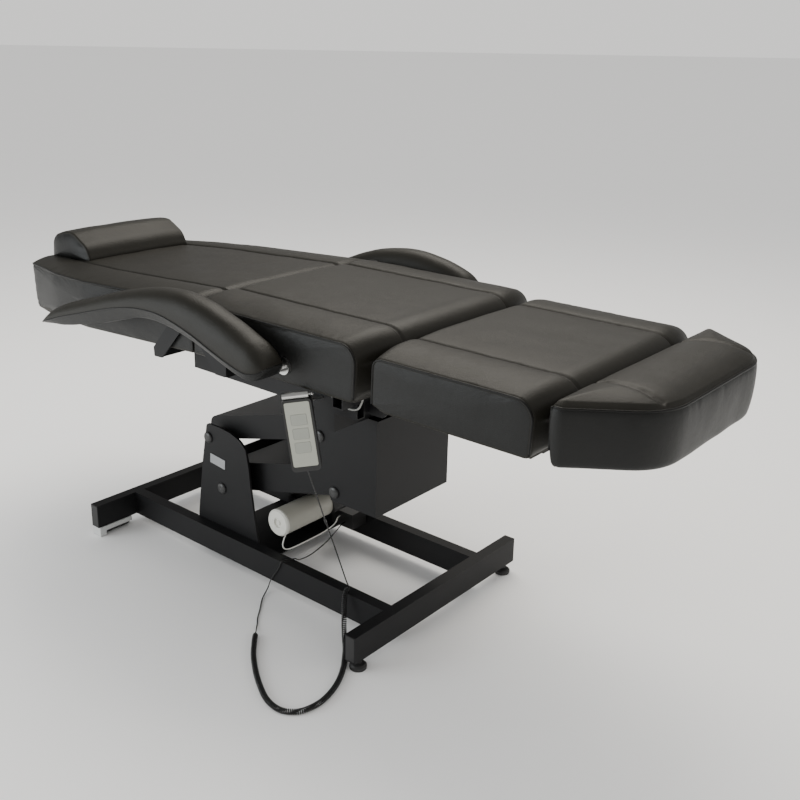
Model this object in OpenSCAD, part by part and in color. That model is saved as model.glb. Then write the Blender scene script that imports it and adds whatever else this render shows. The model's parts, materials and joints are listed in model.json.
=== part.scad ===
// Electric facial treatment bed: H-shaped base, parallelogram lift, reclining
// backrest, dropping leg rest, sliding footrest and swing-up armrests.
// X runs from the head end to the foot end, Z is up, the floor is Z = 0.

/* [Base frame] */
// Length of the base over its two crossbars
base_l = 1000; // [900:10:1100]
// Width of the base, the length of each crossbar
base_w = 628; // [560:2:700]
// Width of the rectangular base tubes
bar_w = 30; // [25:1:40]
// Height of the rectangular base tubes
bar_h = 66; // [55:1:80]
// Wall of the base tubes
bar_wall = 3; // [2:0.5:4]
// Distance from the centreline to the middle of each rail
rail_y = 170; // [160:1:185]
// Height of the tubes' undersides over the floor
floor_gap = 28; // [24:1:40]
// Distance of the levelling feet and rollers from the ends of a crossbar
foot_inset = 28; // [20:1:60]

/* [Lift] */
// Length of the lift arms between pivots, along the bed
arm_run = 390; // [360:1:420]
// Rise of the lift arms between pivots, at rest
arm_rise = 105; // [80:1:140]
// Height of the upper arm's channel
upper_arm_h = 63; // [50:1:70]
// Height of the lower arm's channel
lower_arm_h = 75; // [55:1:78]
// Half width of both arms
arm_half_w = 122; // [110:1:124]
// Radius of the arms' pivot bolts
pivot_r = 8; // [6:0.5:10]
// Radius of the cylindrical lift motor
motor_r = 36; // [30:1:38]
// Width of the carriage box
box_w = 272; // [268:1:284]
// Height of the carriage box
box_h = 235; // [215:1:245]

/* [Padding] */
// Width of the cushions
pad_w = 632; // [600:2:680]
// Thickness of the cushions
pad_h = 113; // [90:1:125]
// Length of the seat cushion
seat_l = 509; // [480:1:530]
// Length of the leg rest cushion
leg_l = 379; // [340:1:420]
// Length of the footrest cushion
foot_l = 172; // [140:1:200]
// Length of the backrest cushion
back_l = 818; // [740:1:860]
// Width of the backrest at its head end
back_head_w = 500; // [440:2:600]
// Droop of the flat backrest towards the head, in degrees
back_droop = 3; // [0:0.5:4]
// Length of the pillow, across the bed
pillow_w = 352; // [280:2:440]
// Depth of the pillow, along the bed
pillow_d = 190; // [150:1:210]
// Height of the pillow
pillow_h = 82; // [60:1:95]
// Thickness of the plywood boards under the padding
board_t = 12; // [9:1:15]

/* [Armrests] */
// Width of each armrest
armrest_w = 88; // [70:1:100]
// Gap between a cushion's side and an armrest, which holds the hinge plates
armrest_gap = 10.5; // [10:0.5:14]

/* [Handset] */
// Length of the handset
handset_h = 166; // [140:1:180]
// Width of the handset
handset_w = 64; // [54:1:70]
// Thickness of the handset
handset_t = 22; // [18:1:26]

/* [Hidden] */

// The base's centre lies this far from the middle of the whole bed.
base_x = -143;
// Running clearance between a pin and its bore
run_gap = 0.05;

// A place along the bed, measured from the base's centre and the tubes' undersides.
function at(x, z) = [base_x + x, floor_gap + z];

function unit(v) = v / norm(v);
// The arc that rounds corner b between its neighbours a and c.
function corner(a, b, c, r, n) =
  let(u = unit(a - b), v = unit(c - b), spread = acos(u * v), d = r / tan(spread / 2),
      p = b + u * d, q = b + v * d, m = b + unit(u + v) * r / sin(spread / 2),
      s = atan2(p.y - m.y, p.x - m.x), e = atan2(q.y - m.y, q.x - m.x),
      turn = ((e - s + 540) % 360) - 180)
  [for (i = [0:n]) m + r * [cos(s + turn * i / n), sin(s + turn * i / n)]];
// An outline with each corner rounded by its own radius, or all by one.
function rounded(pts, r, n = 6) = let(k = len(pts))
  [for (i = [0:k - 1]) let(ri = is_list(r) ? r[i] : r)
    each (ri > 0 ? corner(pts[(i + k - 1) % k], pts[i], pts[(i + 1) % k], ri, n)
                 : [pts[i]])];

rail_in = rail_y - bar_w / 2;
rail_out = rail_y + bar_w / 2;
head_bar_x = base_x - base_l / 2;
foot_bar_x = base_x + base_l / 2 - bar_w;

// Tower: two side plates between the rails
plate_t = 6;
plate_y = rail_in - plate_t;
tower_pivot_up = at(-168, 311);
tower_pivot_low = at(-120, 179);
arm_v = [arm_run, arm_rise];
arm_len = norm(arm_v);
arm_angle = atan2(arm_rise, arm_run);
box_pivot_up = tower_pivot_up + arm_v;
box_pivot_low = tower_pivot_low + arm_v;
arm_under = 13;
channel_t = 5;
bolt_head_r = 15;
bolt_head_t = 7;

// Lift actuator: pivoted low between the rails, reaching up to the lower arm
lift_foot = at(-64, 100);
lift_eye = tower_pivot_low + [cos(arm_angle) * 330 + sin(arm_angle) * 45,
                              sin(arm_angle) * 330 - cos(arm_angle) * 45];
lift_reach = norm(lift_eye - lift_foot);
lift_y = 60;
rod_r = 10;
gearbox_w = 46;
eye_t = 14;
eye_r = 14;
lug_t = 5;
side_gap = 1;
pin_r = 5;

// Carriage box and what stands on it
box_x1 = base_x + 402;
box_z0 = floor_gap + 260;
box_z1 = box_z0 + box_h;
cover_t = 3;
carriage_top_t = 6;
frame_z0 = floor_gap + 544;
frame_z1 = frame_z0 + 38;
side_tube_y = 221;
side_tube_w = 25;
cross_z1 = frame_z1 + 30;
board_z0 = cross_z1;
pad_z0 = board_z0 + board_t;
pad_z1 = pad_z0 + pad_h;
half_w = pad_w / 2;
seat_x0 = base_x - 11;
seat_x1 = seat_x0 + seat_l;
tube_wall = 2.5;

// Hinges
back_hinge = [seat_x0 - 4, pad_z1 - 13];
leg_hinge = [seat_x1 + 31, board_z0];
armrest_pivot = at(298, 654);
hinge_plate_t = 4;
hinge_y = half_w + 1;
back_plate_y = hinge_y + hinge_plate_t + 0.3;

// Leg rest and footrest
leg_x0 = seat_x1 + 41;
leg_x1 = leg_x0 + leg_l;
foot_x0 = leg_x1 + 32;
foot_x1 = foot_x0 + foot_l;
foot_front_w = 400;

// Backrest, laid level here and turned down by its droop
back_x1 = seat_x0 - 6;
back_x0 = back_x1 - back_l;

// Back and leg actuators, side by side under the seat
back_foot = at(430, 535);
back_eye = at(45, 539);
leg_foot = at(120, 557);
leg_eye = at(600, 550);
back_act_y = -60;
leg_act_y = 60;
sleeve_r = 17;
small_motor_r = 19;
motor_offset = 39;

// Armrest outline at rest, from the pivot back over the hump to the tail
armrest_y = half_w + armrest_gap;

// Handset: hung beside the seat, turned towards the foot end and leaning a little
handset_top = [base_x + 348, -337, floor_gap + 594];
handset_turn = 40;
handset_lean = -8;
face_inset = 5;
key_gap = 0.4;
key_t = 2.4;

// Cords
coil_cord_r = 7;
lead_r = 1.6;
wire_r = 1.75;
lead_route = [[215.7, -314, 457], [215.6, -308, 441], [215.3, -285, 382],
              [215, -258, 311], [214.7, -230, 240], [214.4, -204, 172], [214.2, -188, 130],
              [214, -180, 109]];
coil_route = [[214, -176, 103], [215, -185, 104.5], [218, -194, 101], [221, -201, 91],
              [224, -206, 74], [230, -212, 54], [243, -226, 34], [260, -242, 16],
              [277, -258, 8], [300, -285, 7], [327, -320, 7], [351, -362, 7],
              [367, -408, 7], [371, -450, 7], [359, -490, 7], [327, -512, 7],
              [283, -508, 7], [237, -486, 7], [191, -457, 7], [145, -422, 7],
              [107, -386, 7], [76, -353, 7]];
tail_route = [[76, -353, 7], [65, -341, 5], [45, -320, 2], [25, -300, 2], [-1, -268, 2],
              [-27, -238, 2], [-43, -212, 4], [-50, -195, 10], [-49, -189, 24],
              [-39, -188, 42], [-25, -188, 62], [-13, -188, 82], [-8, -187, 95],
              [-3, -178, 98], [3, -165, 97.5], [7, -152, 96], [7, -140, 88],
              [1, -100, 80], [-9, -60, 76], [-25, 0, 76], [-41, 50, 80],
              [-51, 82, 84], [-53, 98, 84]];
motor_wire_route = [[-63, -118, 124], [-62, -126, 114], [-59, -132, 98], [-49, -120, 90],
                    [-35, -60, 98], [-33, 0, 102], [-47, 50, 100], [-69, 84, 96],
                    [-73, 98, 96]];
seat_cable_route = [[216, -252, 638], [230, -252, 613], [246, -252, 604],
                    [265, -252, 599], [285, -252, 597], [300, -252, 600],
                    [309, -252, 606], [317, -252, 622], [322, -252, 638]];
box_ctrl_y0 = 98;

steel_colour = [0.08, 0.08, 0.09];
leather_colour = [0.10, 0.10, 0.10];
metal_colour = [0.72, 0.72, 0.72];
plywood_colour = [0.55, 0.42, 0.28];

// ---- shared shapes ----

// An upright outline, given along X and Z, with a thickness from y0 to y1
module upright(pts, y0, y1)
  translate([0, y1, 0]) rotate([90, 0, 0]) linear_extrude(y1 - y0) polygon(pts);

// A cylinder along Y through a place given along X and Z
module cross_pin(p, r, y0, y1, fn = 48)
  translate([p.x, y0, p.y]) rotate([-90, 0, 0]) cylinder(r = r, h = y1 - y0, $fn = fn);

// A rectangular tube along X, or with its length along Y
module tube_x(x0, x1, y0, z0, w, h, wall) difference() {
  translate([x0, y0, z0]) cube([x1 - x0, w, h]);
  translate([x0 - 1, y0 + wall, z0 + wall])
    cube([x1 - x0 + 2, w - 2 * wall, h - 2 * wall]);
}
module tube_y(y0, y1, x0, z0, w, h, wall) difference() {
  translate([x0, y0, z0]) cube([w, y1 - y0, h]);
  translate([x0 + wall, y0 - 1, z0 + wall])
    cube([w - 2 * wall, y1 - y0 + 2, h - 2 * wall]);
}

module both_sides() {
  children();
  mirror([0, 1, 0]) children();
}

// A domed bolt head that grows along +Y from a face
module bolt_head(p, y) translate([p.x, y, p.y]) rotate([-90, 0, 0])
  rotate_extrude($fn = 48) polygon([[0, 0], [bolt_head_r, 0], [bolt_head_r, 3],
    [bolt_head_r - 2, 5], [bolt_head_r - 6, bolt_head_t - 0.5], [0, bolt_head_t]]);

// A pair of eye plates along Y, a side gap clear of the eye between them
module eye_plates(pts, y, hole) difference() {
  union() for (s = [-1, 1]) {
    y0 = y + s * (eye_t / 2 + side_gap + lug_t / 2) - lug_t / 2;
    upright(pts, y0, y0 + lug_t);
  }
  cross_pin(hole, pin_r + run_gap, y - eye_t, y + eye_t);
}

// The pin that an actuator's foot turns on, through both eye plates
module foot_pin(p, y) cross_pin(p, pin_r, y - eye_t / 2 - lug_t - 3, y + eye_t / 2 + lug_t + 3);

// A tube swept along a route: rings of points joined side by side and capped.
function tangent(r, i) =
  unit(r[min(i + 1, len(r) - 1)] - r[max(i - 1, 0)]);
// Rings keep their sides in step by carrying one reference direction along the route.
function carried(r, i, u) = let(t = tangent(r, i), w = u - (u * t) * t) unit(w);
function refs(r, i = 0, u = [0, 1, 0.01]) = i >= len(r) ? [] :
  let(w = carried(r, i, u)) concat([w], refs(r, i + 1, w));
module swept_tube(route, r, n, start_u) {
  us = refs(route, 0, start_u);
  pts = [for (i = [0:len(route) - 1]) let(t = tangent(route, i), u = us[i], v = cross(t, u))
    each [for (k = [0:n - 1]) route[i] + r * (cos(360 * k / n) * u + sin(360 * k / n) * v)]];
  m = len(route);
  sides = [for (i = [0:m - 2]) for (k = [0:n - 1])
    [i * n + k, (i + 1) * n + k, (i + 1) * n + (k + 1) % n, i * n + (k + 1) % n]];
  start_cap = [for (k = [0:n - 1]) k];
  end_cap = [for (k = [n - 1:-1:0]) (m - 1) * n + k];
  polyhedron(concat(pts), concat([start_cap], [end_cap], sides));
}

// ---- base ----

module head_crossbar() color(steel_colour)
  tube_y(-base_w / 2, base_w / 2, head_bar_x, floor_gap, bar_w, bar_h, bar_wall);

module foot_crossbar() color(steel_colour)
  tube_y(-base_w / 2, base_w / 2, foot_bar_x, floor_gap, bar_w, bar_h, bar_wall);

module rail(y0) tube_x(head_bar_x + bar_w, foot_bar_x, y0, floor_gap, bar_w, bar_h, bar_wall);
module right_rail() color(steel_colour) rail(-rail_out);
module left_rail() color(steel_colour) rail(rail_in);

// Plastic plugs that fill the open ends of both crossbars
module crossbar_end_caps() color([0.05, 0.05, 0.05])
  both_sides() for (x = [head_bar_x, foot_bar_x])
    translate([x + bar_wall, -base_w / 2, floor_gap + bar_wall])
      cube([bar_w - 2 * bar_wall, 14, bar_h - 2 * bar_wall]);

// Screw feet under the foot crossbar
module levelling_feet() color([0.06, 0.06, 0.06]) both_sides()
  translate([foot_bar_x + bar_w / 2, -base_w / 2 + foot_inset, 0])
    rotate_extrude($fn = 48) polygon([[0, 0], [19, 0], [20, 2], [20, 9], [16, 13],
      [8, 15], [8, floor_gap], [0, floor_gap]]);

roller_r = 12;
roller_x = head_bar_x + bar_w / 2;
roller_len = 78;
housing_wall = 4;
roller_axle_r = 4;
// Pressed channels with their axles, under the ends of the head crossbar
module roller_housings() color(metal_colour) both_sides() {
  y0 = -base_w / 2 + 2;
  z_top = floor_gap;
  difference() {
    translate([roller_x - 19, y0, roller_r + 3]) cube([38, 106, z_top - roller_r - 3]);
    translate([roller_x - 16, y0 + 20, 0]) cube([32, roller_len + 4, z_top - 2]);
  }
  difference() {
    translate([roller_x - 19, y0, 1.5]) cube([38, 20, z_top - 1.5]);
    translate([roller_x - 14, y0 + 3, 0]) cube([28, 12, z_top - 4]);
  }
  translate([roller_x - 10, y0 + 20 + roller_len + 4, 4])
    cube([20, housing_wall, z_top - 4]);
  cross_pin([roller_x, roller_r + 0.3], roller_axle_r, y0 + 16, y0 + 20 + roller_len + 8);
}
module roller(y0) color([0.12, 0.12, 0.12]) difference() {
  cross_pin([roller_x, roller_r + 0.3], roller_r, y0, y0 + roller_len);
  cross_pin([roller_x, roller_r + 0.3], roller_axle_r + run_gap, y0 - 1, y0 + roller_len + 1);
}
module right_roller() roller(-base_w / 2 + 24);
module left_roller() roller(base_w / 2 - 24 - roller_len);

// ---- tower ----

tower_outline = rounded([at(-223, 0), at(-221, 80), at(-198, 231), at(-174, 350),
  at(-122, 350), at(-83, 346), at(-45, 334), at(-24, 315), at(-14, 266), at(-9, 212),
  at(1, 143), at(14, 72), at(16, 0)], [0, 20, 60, 10, 0, 40, 40, 14, 60, 60, 80, 20, 0], 4);

module tower_plate(y0) color(steel_colour) difference() {
  upright(tower_outline, y0, y0 + plate_t);
  for (p = [tower_pivot_up, tower_pivot_low])
    cross_pin(p, pivot_r + run_gap, y0 - 1, y0 + plate_t + 1);
}
module tower_right_plate() tower_plate(-rail_in);
module tower_left_plate() tower_plate(plate_y);

web_t = 5;
// Bent web that ties the plates at the head side, with the actuator's floor plate
module tower_web() color(steel_colour) {
  upright([at(-218, 90), at(-213, 90), at(-190, 236), at(-195, 236)], -plate_y, plate_y);
  translate([base_x - 219, -plate_y, floor_gap]) cube([235, 2 * plate_y, web_t]);
  eye_plates(rounded([at(-90, web_t), at(-76, 104), at(-52, 104), at(-38, web_t)],
    [0, 10, 10, 0]), lift_y, lift_foot);
  foot_pin(lift_foot, lift_y);
}

collar_r = 14;
// Through bolts of both tower pivots, with the collars that centre the arms
module tower_pivot_bolts() color([0.1, 0.1, 0.1])
  for (p = [tower_pivot_up, tower_pivot_low]) {
    cross_pin(p, pivot_r, -rail_in, rail_in);
    bolt_head(p, rail_in);
    mirror([0, 1, 0]) bolt_head(p, rail_in);
    both_sides() difference() {
      cross_pin(p, collar_r, arm_half_w + 0.4, plate_y - 0.1);
      cross_pin(p, pivot_r - 1, arm_half_w, plate_y);
    }
  }

// Blank aluminium plate on the tower's right side
module rating_plate() color([0.45, 0.47, 0.48])
  upright([at(-164, 242), at(-106, 236), at(-104, 262), at(-162, 268)],
    -rail_in - 1.2, -rail_in);

// Plastic box that the handset and the motors plug into
module control_box() color([0.07, 0.07, 0.07]) {
  translate([base_x + 40, box_ctrl_y0, floor_gap + 40])
    cube([76, rail_in - box_ctrl_y0, 44]);
}

// ---- lift arms ----

// A channel with its open side down, round a pivot at each end of the arm
module arm(p, h, roof) difference() {
  translate([p.x, 0, p.y]) rotate([0, -arm_angle, 0]) difference() {
    upright(rounded([[-22, -arm_under], [arm_len + 22, -arm_under],
      [arm_len + 22, h - arm_under], [-22, h - arm_under]], [12, 12, 26, 26]),
      -arm_half_w, arm_half_w);
    translate([-40, -arm_half_w + channel_t, -arm_under - 1])
      cube([arm_len + 80, 2 * (arm_half_w - channel_t), h - roof + 1]);
  }
  for (q = [p, p + arm_v])
    cross_pin(q, pivot_r + run_gap, -arm_half_w - 1, arm_half_w + 1);
}
module upper_arm() color(steel_colour) arm(tower_pivot_up, upper_arm_h, channel_t);
module lower_arm() color(steel_colour) {
  difference() {
    arm(tower_pivot_low, lower_arm_h, channel_t);
    // The open pivot: its bores clear the carriage's bolts
    cross_pin(box_pivot_low, pivot_r + 1, -arm_half_w - 1, arm_half_w + 1);
  }
  translate([tower_pivot_low.x, 0, tower_pivot_low.y]) rotate([0, -arm_angle, 0])
    eye_plates(rounded([[296, lower_arm_h - arm_under - channel_t],
      [316, -58], [344, -58], [364, lower_arm_h - arm_under - channel_t]],
      [0, 12, 12, 0]), lift_y, [330, -45]);
}

// ---- lift actuator ----

// Places an actuator's own parts: its foot at the origin, its rod along +X
module aimed(foot, eye) translate([foot.x, 0, foot.y])
  rotate([0, -atan2(eye.y - foot.y, eye.x - foot.x), 0]) children();

lift_motor_at = [130, -24.6];
gearbox_y0 = lift_y - gearbox_w / 2;
lift_sleeve_r = 18;
lift_sleeve_end = 250;
module lift_gearbox() color([0.12, 0.12, 0.12]) aimed(lift_foot, lift_eye) difference() {
  union() {
    cross_pin([0, 0], eye_r, lift_y - eye_t / 2, lift_y + eye_t / 2);
    translate([0, lift_y - eye_t / 2, -8]) cube([100, eye_t, 16]);
    upright(rounded([[88, -58], [168, -58], [168, 22], [88, 22]], 10),
      gearbox_y0, gearbox_y0 + gearbox_w);
    translate([160, lift_y, 0]) rotate([0, 90, 0])
      cylinder(r = lift_sleeve_r, h = lift_sleeve_end - 160, $fn = 48);
  }
  cross_pin([0, 0], pin_r + run_gap, lift_y - eye_t, lift_y + eye_t);
  translate([120, lift_y, 0]) rotate([0, 90, 0])
    cylinder(r = rod_r + run_gap, h = 200, $fn = 48);
}

motor_cap_t = 9;
motor_y0 = -132;
module lift_motor() color([0.62, 0.61, 0.55]) aimed(lift_foot, lift_eye)
  cross_pin(lift_motor_at, motor_r, motor_y0 + motor_cap_t, gearbox_y0, 64);

// Moulded end cap with a recessed seat and hub
module lift_motor_cap() color([0.85, 0.85, 0.82]) aimed(lift_foot, lift_eye)
  translate([lift_motor_at.x, motor_y0 + motor_cap_t, lift_motor_at.y])
    rotate([90, 0, 0]) rotate_extrude($fn = 64) polygon([[0, 0], [motor_r + 0.5, 0],
      [motor_r + 0.5, 5], [motor_r - 3, motor_cap_t], [13, motor_cap_t], [12, 4],
      [7, 4], [6, 7], [0, 7]]);

lift_rod_start = 134;
// Flat tongue between a rod's end and its eye, which fits between the lever's plates
tongue_l = 34;
module lift_rod() color(metal_colour) aimed(lift_foot, lift_eye) difference() {
  union() {
    translate([lift_rod_start, lift_y, 0]) rotate([0, 90, 0])
      cylinder(r = rod_r, h = lift_reach - lift_rod_start - tongue_l, $fn = 48);
    translate([lift_reach - tongue_l - 2, lift_y - eye_t / 2, -7]) cube([tongue_l, eye_t, 14]);
    cross_pin([lift_reach, 0], eye_r, lift_y - eye_t / 2, lift_y + eye_t / 2);
  }
  cross_pin([lift_reach, 0], pin_r + run_gap, lift_y - eye_t, lift_y + eye_t);
}

// ---- carriage ----

frame_plate_t = 4;
frame_plate_y = box_w / 2 - cover_t - frame_plate_t;
lean_x = (box_pivot_low.x - box_pivot_up.x) / (box_pivot_up.y - box_pivot_low.y);
function box_rear(z, back = 11) = box_pivot_low.x - back - lean_x * (z - box_z0);
box_outline = [[box_rear(box_z0), box_z0], [box_x1, box_z0], [box_x1, box_z1],
  [box_rear(box_z1), box_z1]];
inner_outline = [[box_rear(box_z0 + 4, 8), box_z0 + 4], [box_x1 - 60, box_z0 + 4],
  [box_x1 - 60, box_z1 - 1], [box_rear(box_z1, 8), box_z1 - 1]];

riser_x = [base_x + 205, base_x + 345];
riser_w = 30;
riser_y0 = 104;
// Inner plates round both pivots, the top plate and the risers under the seat
module carriage_frame() color(steel_colour) {
  both_sides() difference() {
    upright(inner_outline, frame_plate_y, frame_plate_y + frame_plate_t);
    for (p = [box_pivot_up, box_pivot_low])
      cross_pin(p, pivot_r + run_gap, frame_plate_y - 1, frame_plate_y + frame_plate_t + 1);
  }
  translate([box_rear(box_z1), -box_w / 2, box_z1])
    cube([box_x1 - box_rear(box_z1) + 4, box_w, carriage_top_t]);
  both_sides() for (x = riser_x)
    translate([x, riser_y0, box_z1 + carriage_top_t])
      cube([riser_w, side_tube_y + side_tube_w - riser_y0,
        frame_z0 - box_z1 - carriage_top_t]);
}

// Folded sheet cover, open below and towards the arms
module carriage_cover() color(steel_colour) difference() {
  upright(box_outline, -box_w / 2, box_w / 2);
  upright([[box_rear(box_z0 - 5) - 60, box_z0 - 5], [box_x1 - cover_t, box_z0 - 5],
    [box_x1 - cover_t, box_z1 + 5], [box_rear(box_z1) - 60, box_z1 + 5]],
    -box_w / 2 + cover_t, box_w / 2 - cover_t);
  both_sides() for (p = [box_pivot_up, box_pivot_low])
    cross_pin(p, pivot_r + run_gap, box_w / 2 - cover_t - 1, box_w / 2 + 1);
}

module carriage_pivot_bolts() color([0.1, 0.1, 0.1])
  for (p = [box_pivot_up, box_pivot_low]) {
    cross_pin(p, pivot_r, -box_w / 2, box_w / 2);
    bolt_head(p, box_w / 2);
    mirror([0, 1, 0]) bolt_head(p, box_w / 2);
  }

// ---- seat ----

module seat_side_tubes() color(steel_colour) both_sides()
  tube_x(base_x - 97, base_x + 440, side_tube_y, frame_z0, side_tube_w, 38, tube_wall);

rear_cross_x = base_x + 78;
front_cross_x = base_x + 445 - 30;
cross_w = 30;
// Cross tubes on the side tubes, with the eyes for both actuators
module seat_cross_tubes() color(steel_colour) {
  for (x = [rear_cross_x, front_cross_x])
    tube_y(-half_w + 20, half_w - 20, x, frame_z1, cross_w, 30, tube_wall);
  eye_plates(rounded([[front_cross_x, frame_z1], [back_foot.x - 14, back_foot.y - 10],
    [back_foot.x + 14, back_foot.y - 10], [front_cross_x + cross_w, frame_z1]],
    [0, 10, 10, 0]), back_act_y, back_foot);
  eye_plates(rounded([[rear_cross_x, frame_z1], [leg_foot.x - 18, leg_foot.y - 12],
    [leg_foot.x + 12, leg_foot.y - 12], [rear_cross_x + cross_w + 24, frame_z1]],
    [0, 10, 10, 0]), leg_act_y, leg_foot);
  foot_pin(back_foot, back_act_y);
  foot_pin(leg_foot, leg_act_y);
}

module seat_board() color(plywood_colour)
  translate([seat_x0 + 12, -half_w + 12, board_z0])
    cube([seat_l - 24, pad_w - 24, board_t]);

module seat_cushion() color(leather_colour)
  upright(rounded([[seat_x0, pad_z0], [seat_x1, pad_z0], [seat_x1 - 6, pad_z1],
    [seat_x0 + 4, pad_z1]], [6, 10, 34, 22]), -half_w, half_w);

// Cranked plates outside the cushion that carry the backrest's hinge
module seat_hinge_plates() color(steel_colour) both_sides() difference() {
  union() {
    upright(rounded([[back_hinge.x - 16, back_hinge.y + 14],
      [back_hinge.x - 16, back_hinge.y - 30], [rear_cross_x - 8, frame_z1],
      [rear_cross_x + cross_w, frame_z1], [rear_cross_x + cross_w, cross_z1],
      [back_hinge.x + 16, back_hinge.y + 14]], [14, 20, 6, 6, 6, 14]),
      hinge_y, hinge_y + hinge_plate_t);
    tube_y(half_w - 20, hinge_y, rear_cross_x, frame_z1, cross_w, 30, tube_wall);
  }
  cross_pin(back_hinge, pin_r, hinge_y - 1, hinge_y + hinge_plate_t + 1);
}

pin_head_t = 0.8;
// Hinge pins of the backrest and of the leg rest
module hinge_pins() color(metal_colour) both_sides() {
  cross_pin(back_hinge, pin_r, hinge_y, back_plate_y + hinge_plate_t);
  cross_pin(back_hinge, pin_r + 3, back_plate_y + hinge_plate_t + 0.1,
    back_plate_y + hinge_plate_t + 0.1 + pin_head_t);
  cross_pin(leg_hinge, pin_r, leg_lug_y, leg_lug_y + 2 * leg_lug_t + 1);
}

leg_lug_y = 196;
leg_lug_t = 6;
// Lugs that reach forward from the seat's side tubes to the leg rest's hinge
module leg_hinge_lugs() color(steel_colour) both_sides() difference() {
  union() {
    upright(rounded([[front_cross_x, frame_z1 - 36], [front_cross_x + 60, frame_z1 - 36],
      [leg_hinge.x - 4, leg_hinge.y - 15], [leg_hinge.x + 13, leg_hinge.y - 13],
      [leg_hinge.x + 13, leg_hinge.y + 11], [leg_hinge.x - 13, leg_hinge.y + 11],
      [leg_hinge.x - 26, leg_hinge.y - 2],
      [front_cross_x + cross_w + 2, frame_z1 - 0.5], [front_cross_x, frame_z1 - 0.5]],
      [0, 10, 0, 12, 12, 12, 0, 0, 0]), leg_lug_y, leg_lug_y + leg_lug_t);
    translate([front_cross_x, leg_lug_y + leg_lug_t, frame_z1 - 30])
      cube([20, side_tube_y - leg_lug_y - leg_lug_t, 24]);
  }
  cross_pin(leg_hinge, pin_r, leg_lug_y - 1, leg_lug_y + leg_lug_t + 1);
}

armrest_pin_r = 6;
// Bolts that the armrests turn on, with a bright hub and a post inside the seat
module armrest_pivot_bolts() color(metal_colour) both_sides() {
  cross_pin(armrest_pivot, armrest_pin_r, half_w - 12, armrest_y + 40);
  cross_pin(armrest_pivot, 19, half_w, armrest_y - 0.4);
  difference() {
    upright(rounded([[armrest_pivot.x - 14, armrest_pivot.y + 14],
      [armrest_pivot.x - 14, board_z0 + board_t + 0.5],
      [armrest_pivot.x + 14, board_z0 + board_t + 0.5],
      [armrest_pivot.x + 14, armrest_pivot.y + 14]], [10, 0, 0, 10]),
      half_w - 16, half_w - 12);
  }
}

// ---- backrest ----

// Turns what is drawn level down to the backrest's droop
module drooped() translate([back_hinge.x, 0, back_hinge.y]) rotate([0, -back_droop, 0])
  translate([-back_hinge.x, 0, -back_hinge.y]) children();

back_outline = rounded([[back_x1, half_w], [back_x0 + 350, half_w],
  [back_x0 + 150, half_w - 24], [back_x0, back_head_w / 2], [back_x0, -back_head_w / 2],
  [back_x0 + 150, -half_w + 24], [back_x0 + 350, -half_w], [back_x1, -half_w]],
  [8, 150, 150, 34, 34, 150, 150, 8], 5);

module back_cushion() color(leather_colour) drooped() difference() {
  translate([0, 0, pad_z0]) linear_extrude(pad_h) polygon(back_outline);
  // The lower end is rounded over and kept clear of the seat as it turns
  upright([[back_x1 - 26, pad_z1 + 1], [back_x1 + 1, pad_z1 + 1],
    [back_x1 + 1, pad_z1 - 26], [back_x1 - 8, pad_z1 - 8]], -half_w - 1, half_w + 1);
}

module back_board() color(plywood_colour) drooped()
  translate([0, 0, board_z0]) linear_extrude(board_t) polygon([
    for (p = back_outline) [back_x1 - 20 + (p.x - back_x1) * 0.96, p.y * 0.95]]);

back_side_y = 180;
// Welded frame under the backrest, its hinge arms and the actuator's lever
module back_frame() color(steel_colour) {
  drooped() {
    both_sides() {
      tube_x(back_x0 + 60, back_x1 - 45, back_side_y, board_z0 - 25, 25, 25, tube_wall);
      difference() {
        upright(rounded([[back_hinge.x - 14, back_hinge.y + 13],
          [back_x1 - 140, board_z0 - 2], [back_x1 - 140, board_z0 - 25],
          [back_x1 - 110, board_z0 - 25], [back_hinge.x + 14, back_hinge.y - 16],
          [back_hinge.x + 14, back_hinge.y + 13]], [13, 4, 4, 4, 20, 13]),
          back_plate_y, back_plate_y + hinge_plate_t);
        cross_pin(back_hinge, pin_r + run_gap, back_plate_y - 1,
          back_plate_y + hinge_plate_t + 1);
      }
    }
    for (x = [back_x1 - 140, back_x0 + 80])
      tube_y(-back_side_y, back_side_y, x, board_z0 - 25, 25, 25, tube_wall);
    both_sides() tube_y(back_side_y + 25, back_plate_y, back_x1 - 140, board_z0 - 25,
      25, 25, tube_wall);
    tube_y(-back_side_y, back_side_y, back_x1 - 70, board_z0 - 25, 25, 25, tube_wall);
  }
  eye_plates(rounded([[back_x1 - 72, board_z0 - 28], [back_eye.x - 14, back_eye.y - 13],
    [back_eye.x + 13, back_eye.y - 13], [back_eye.x + 13, back_eye.y + 12],
    [back_x1 - 47, board_z0 - 6]], [0, 12, 12, 12, 0]), back_act_y, back_eye);
}

pillow_x0 = back_x0 + 6;
// Half-round head bolster that lies across the head end
module pillow() color(leather_colour) drooped()
  upright(rounded([[pillow_x0, pad_z1 + 0.4], [pillow_x0 + pillow_d, pad_z1 + 0.4],
    [pillow_x0 + pillow_d - 18, pad_z1 + pillow_h - 12],
    [pillow_x0 + pillow_d / 2, pad_z1 + pillow_h],
    [pillow_x0 + 14, pad_z1 + pillow_h - 10]],
    [5, 5, 45, 20, 45]), -pillow_w / 2, pillow_w / 2);

// ---- back and leg actuators ----

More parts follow.
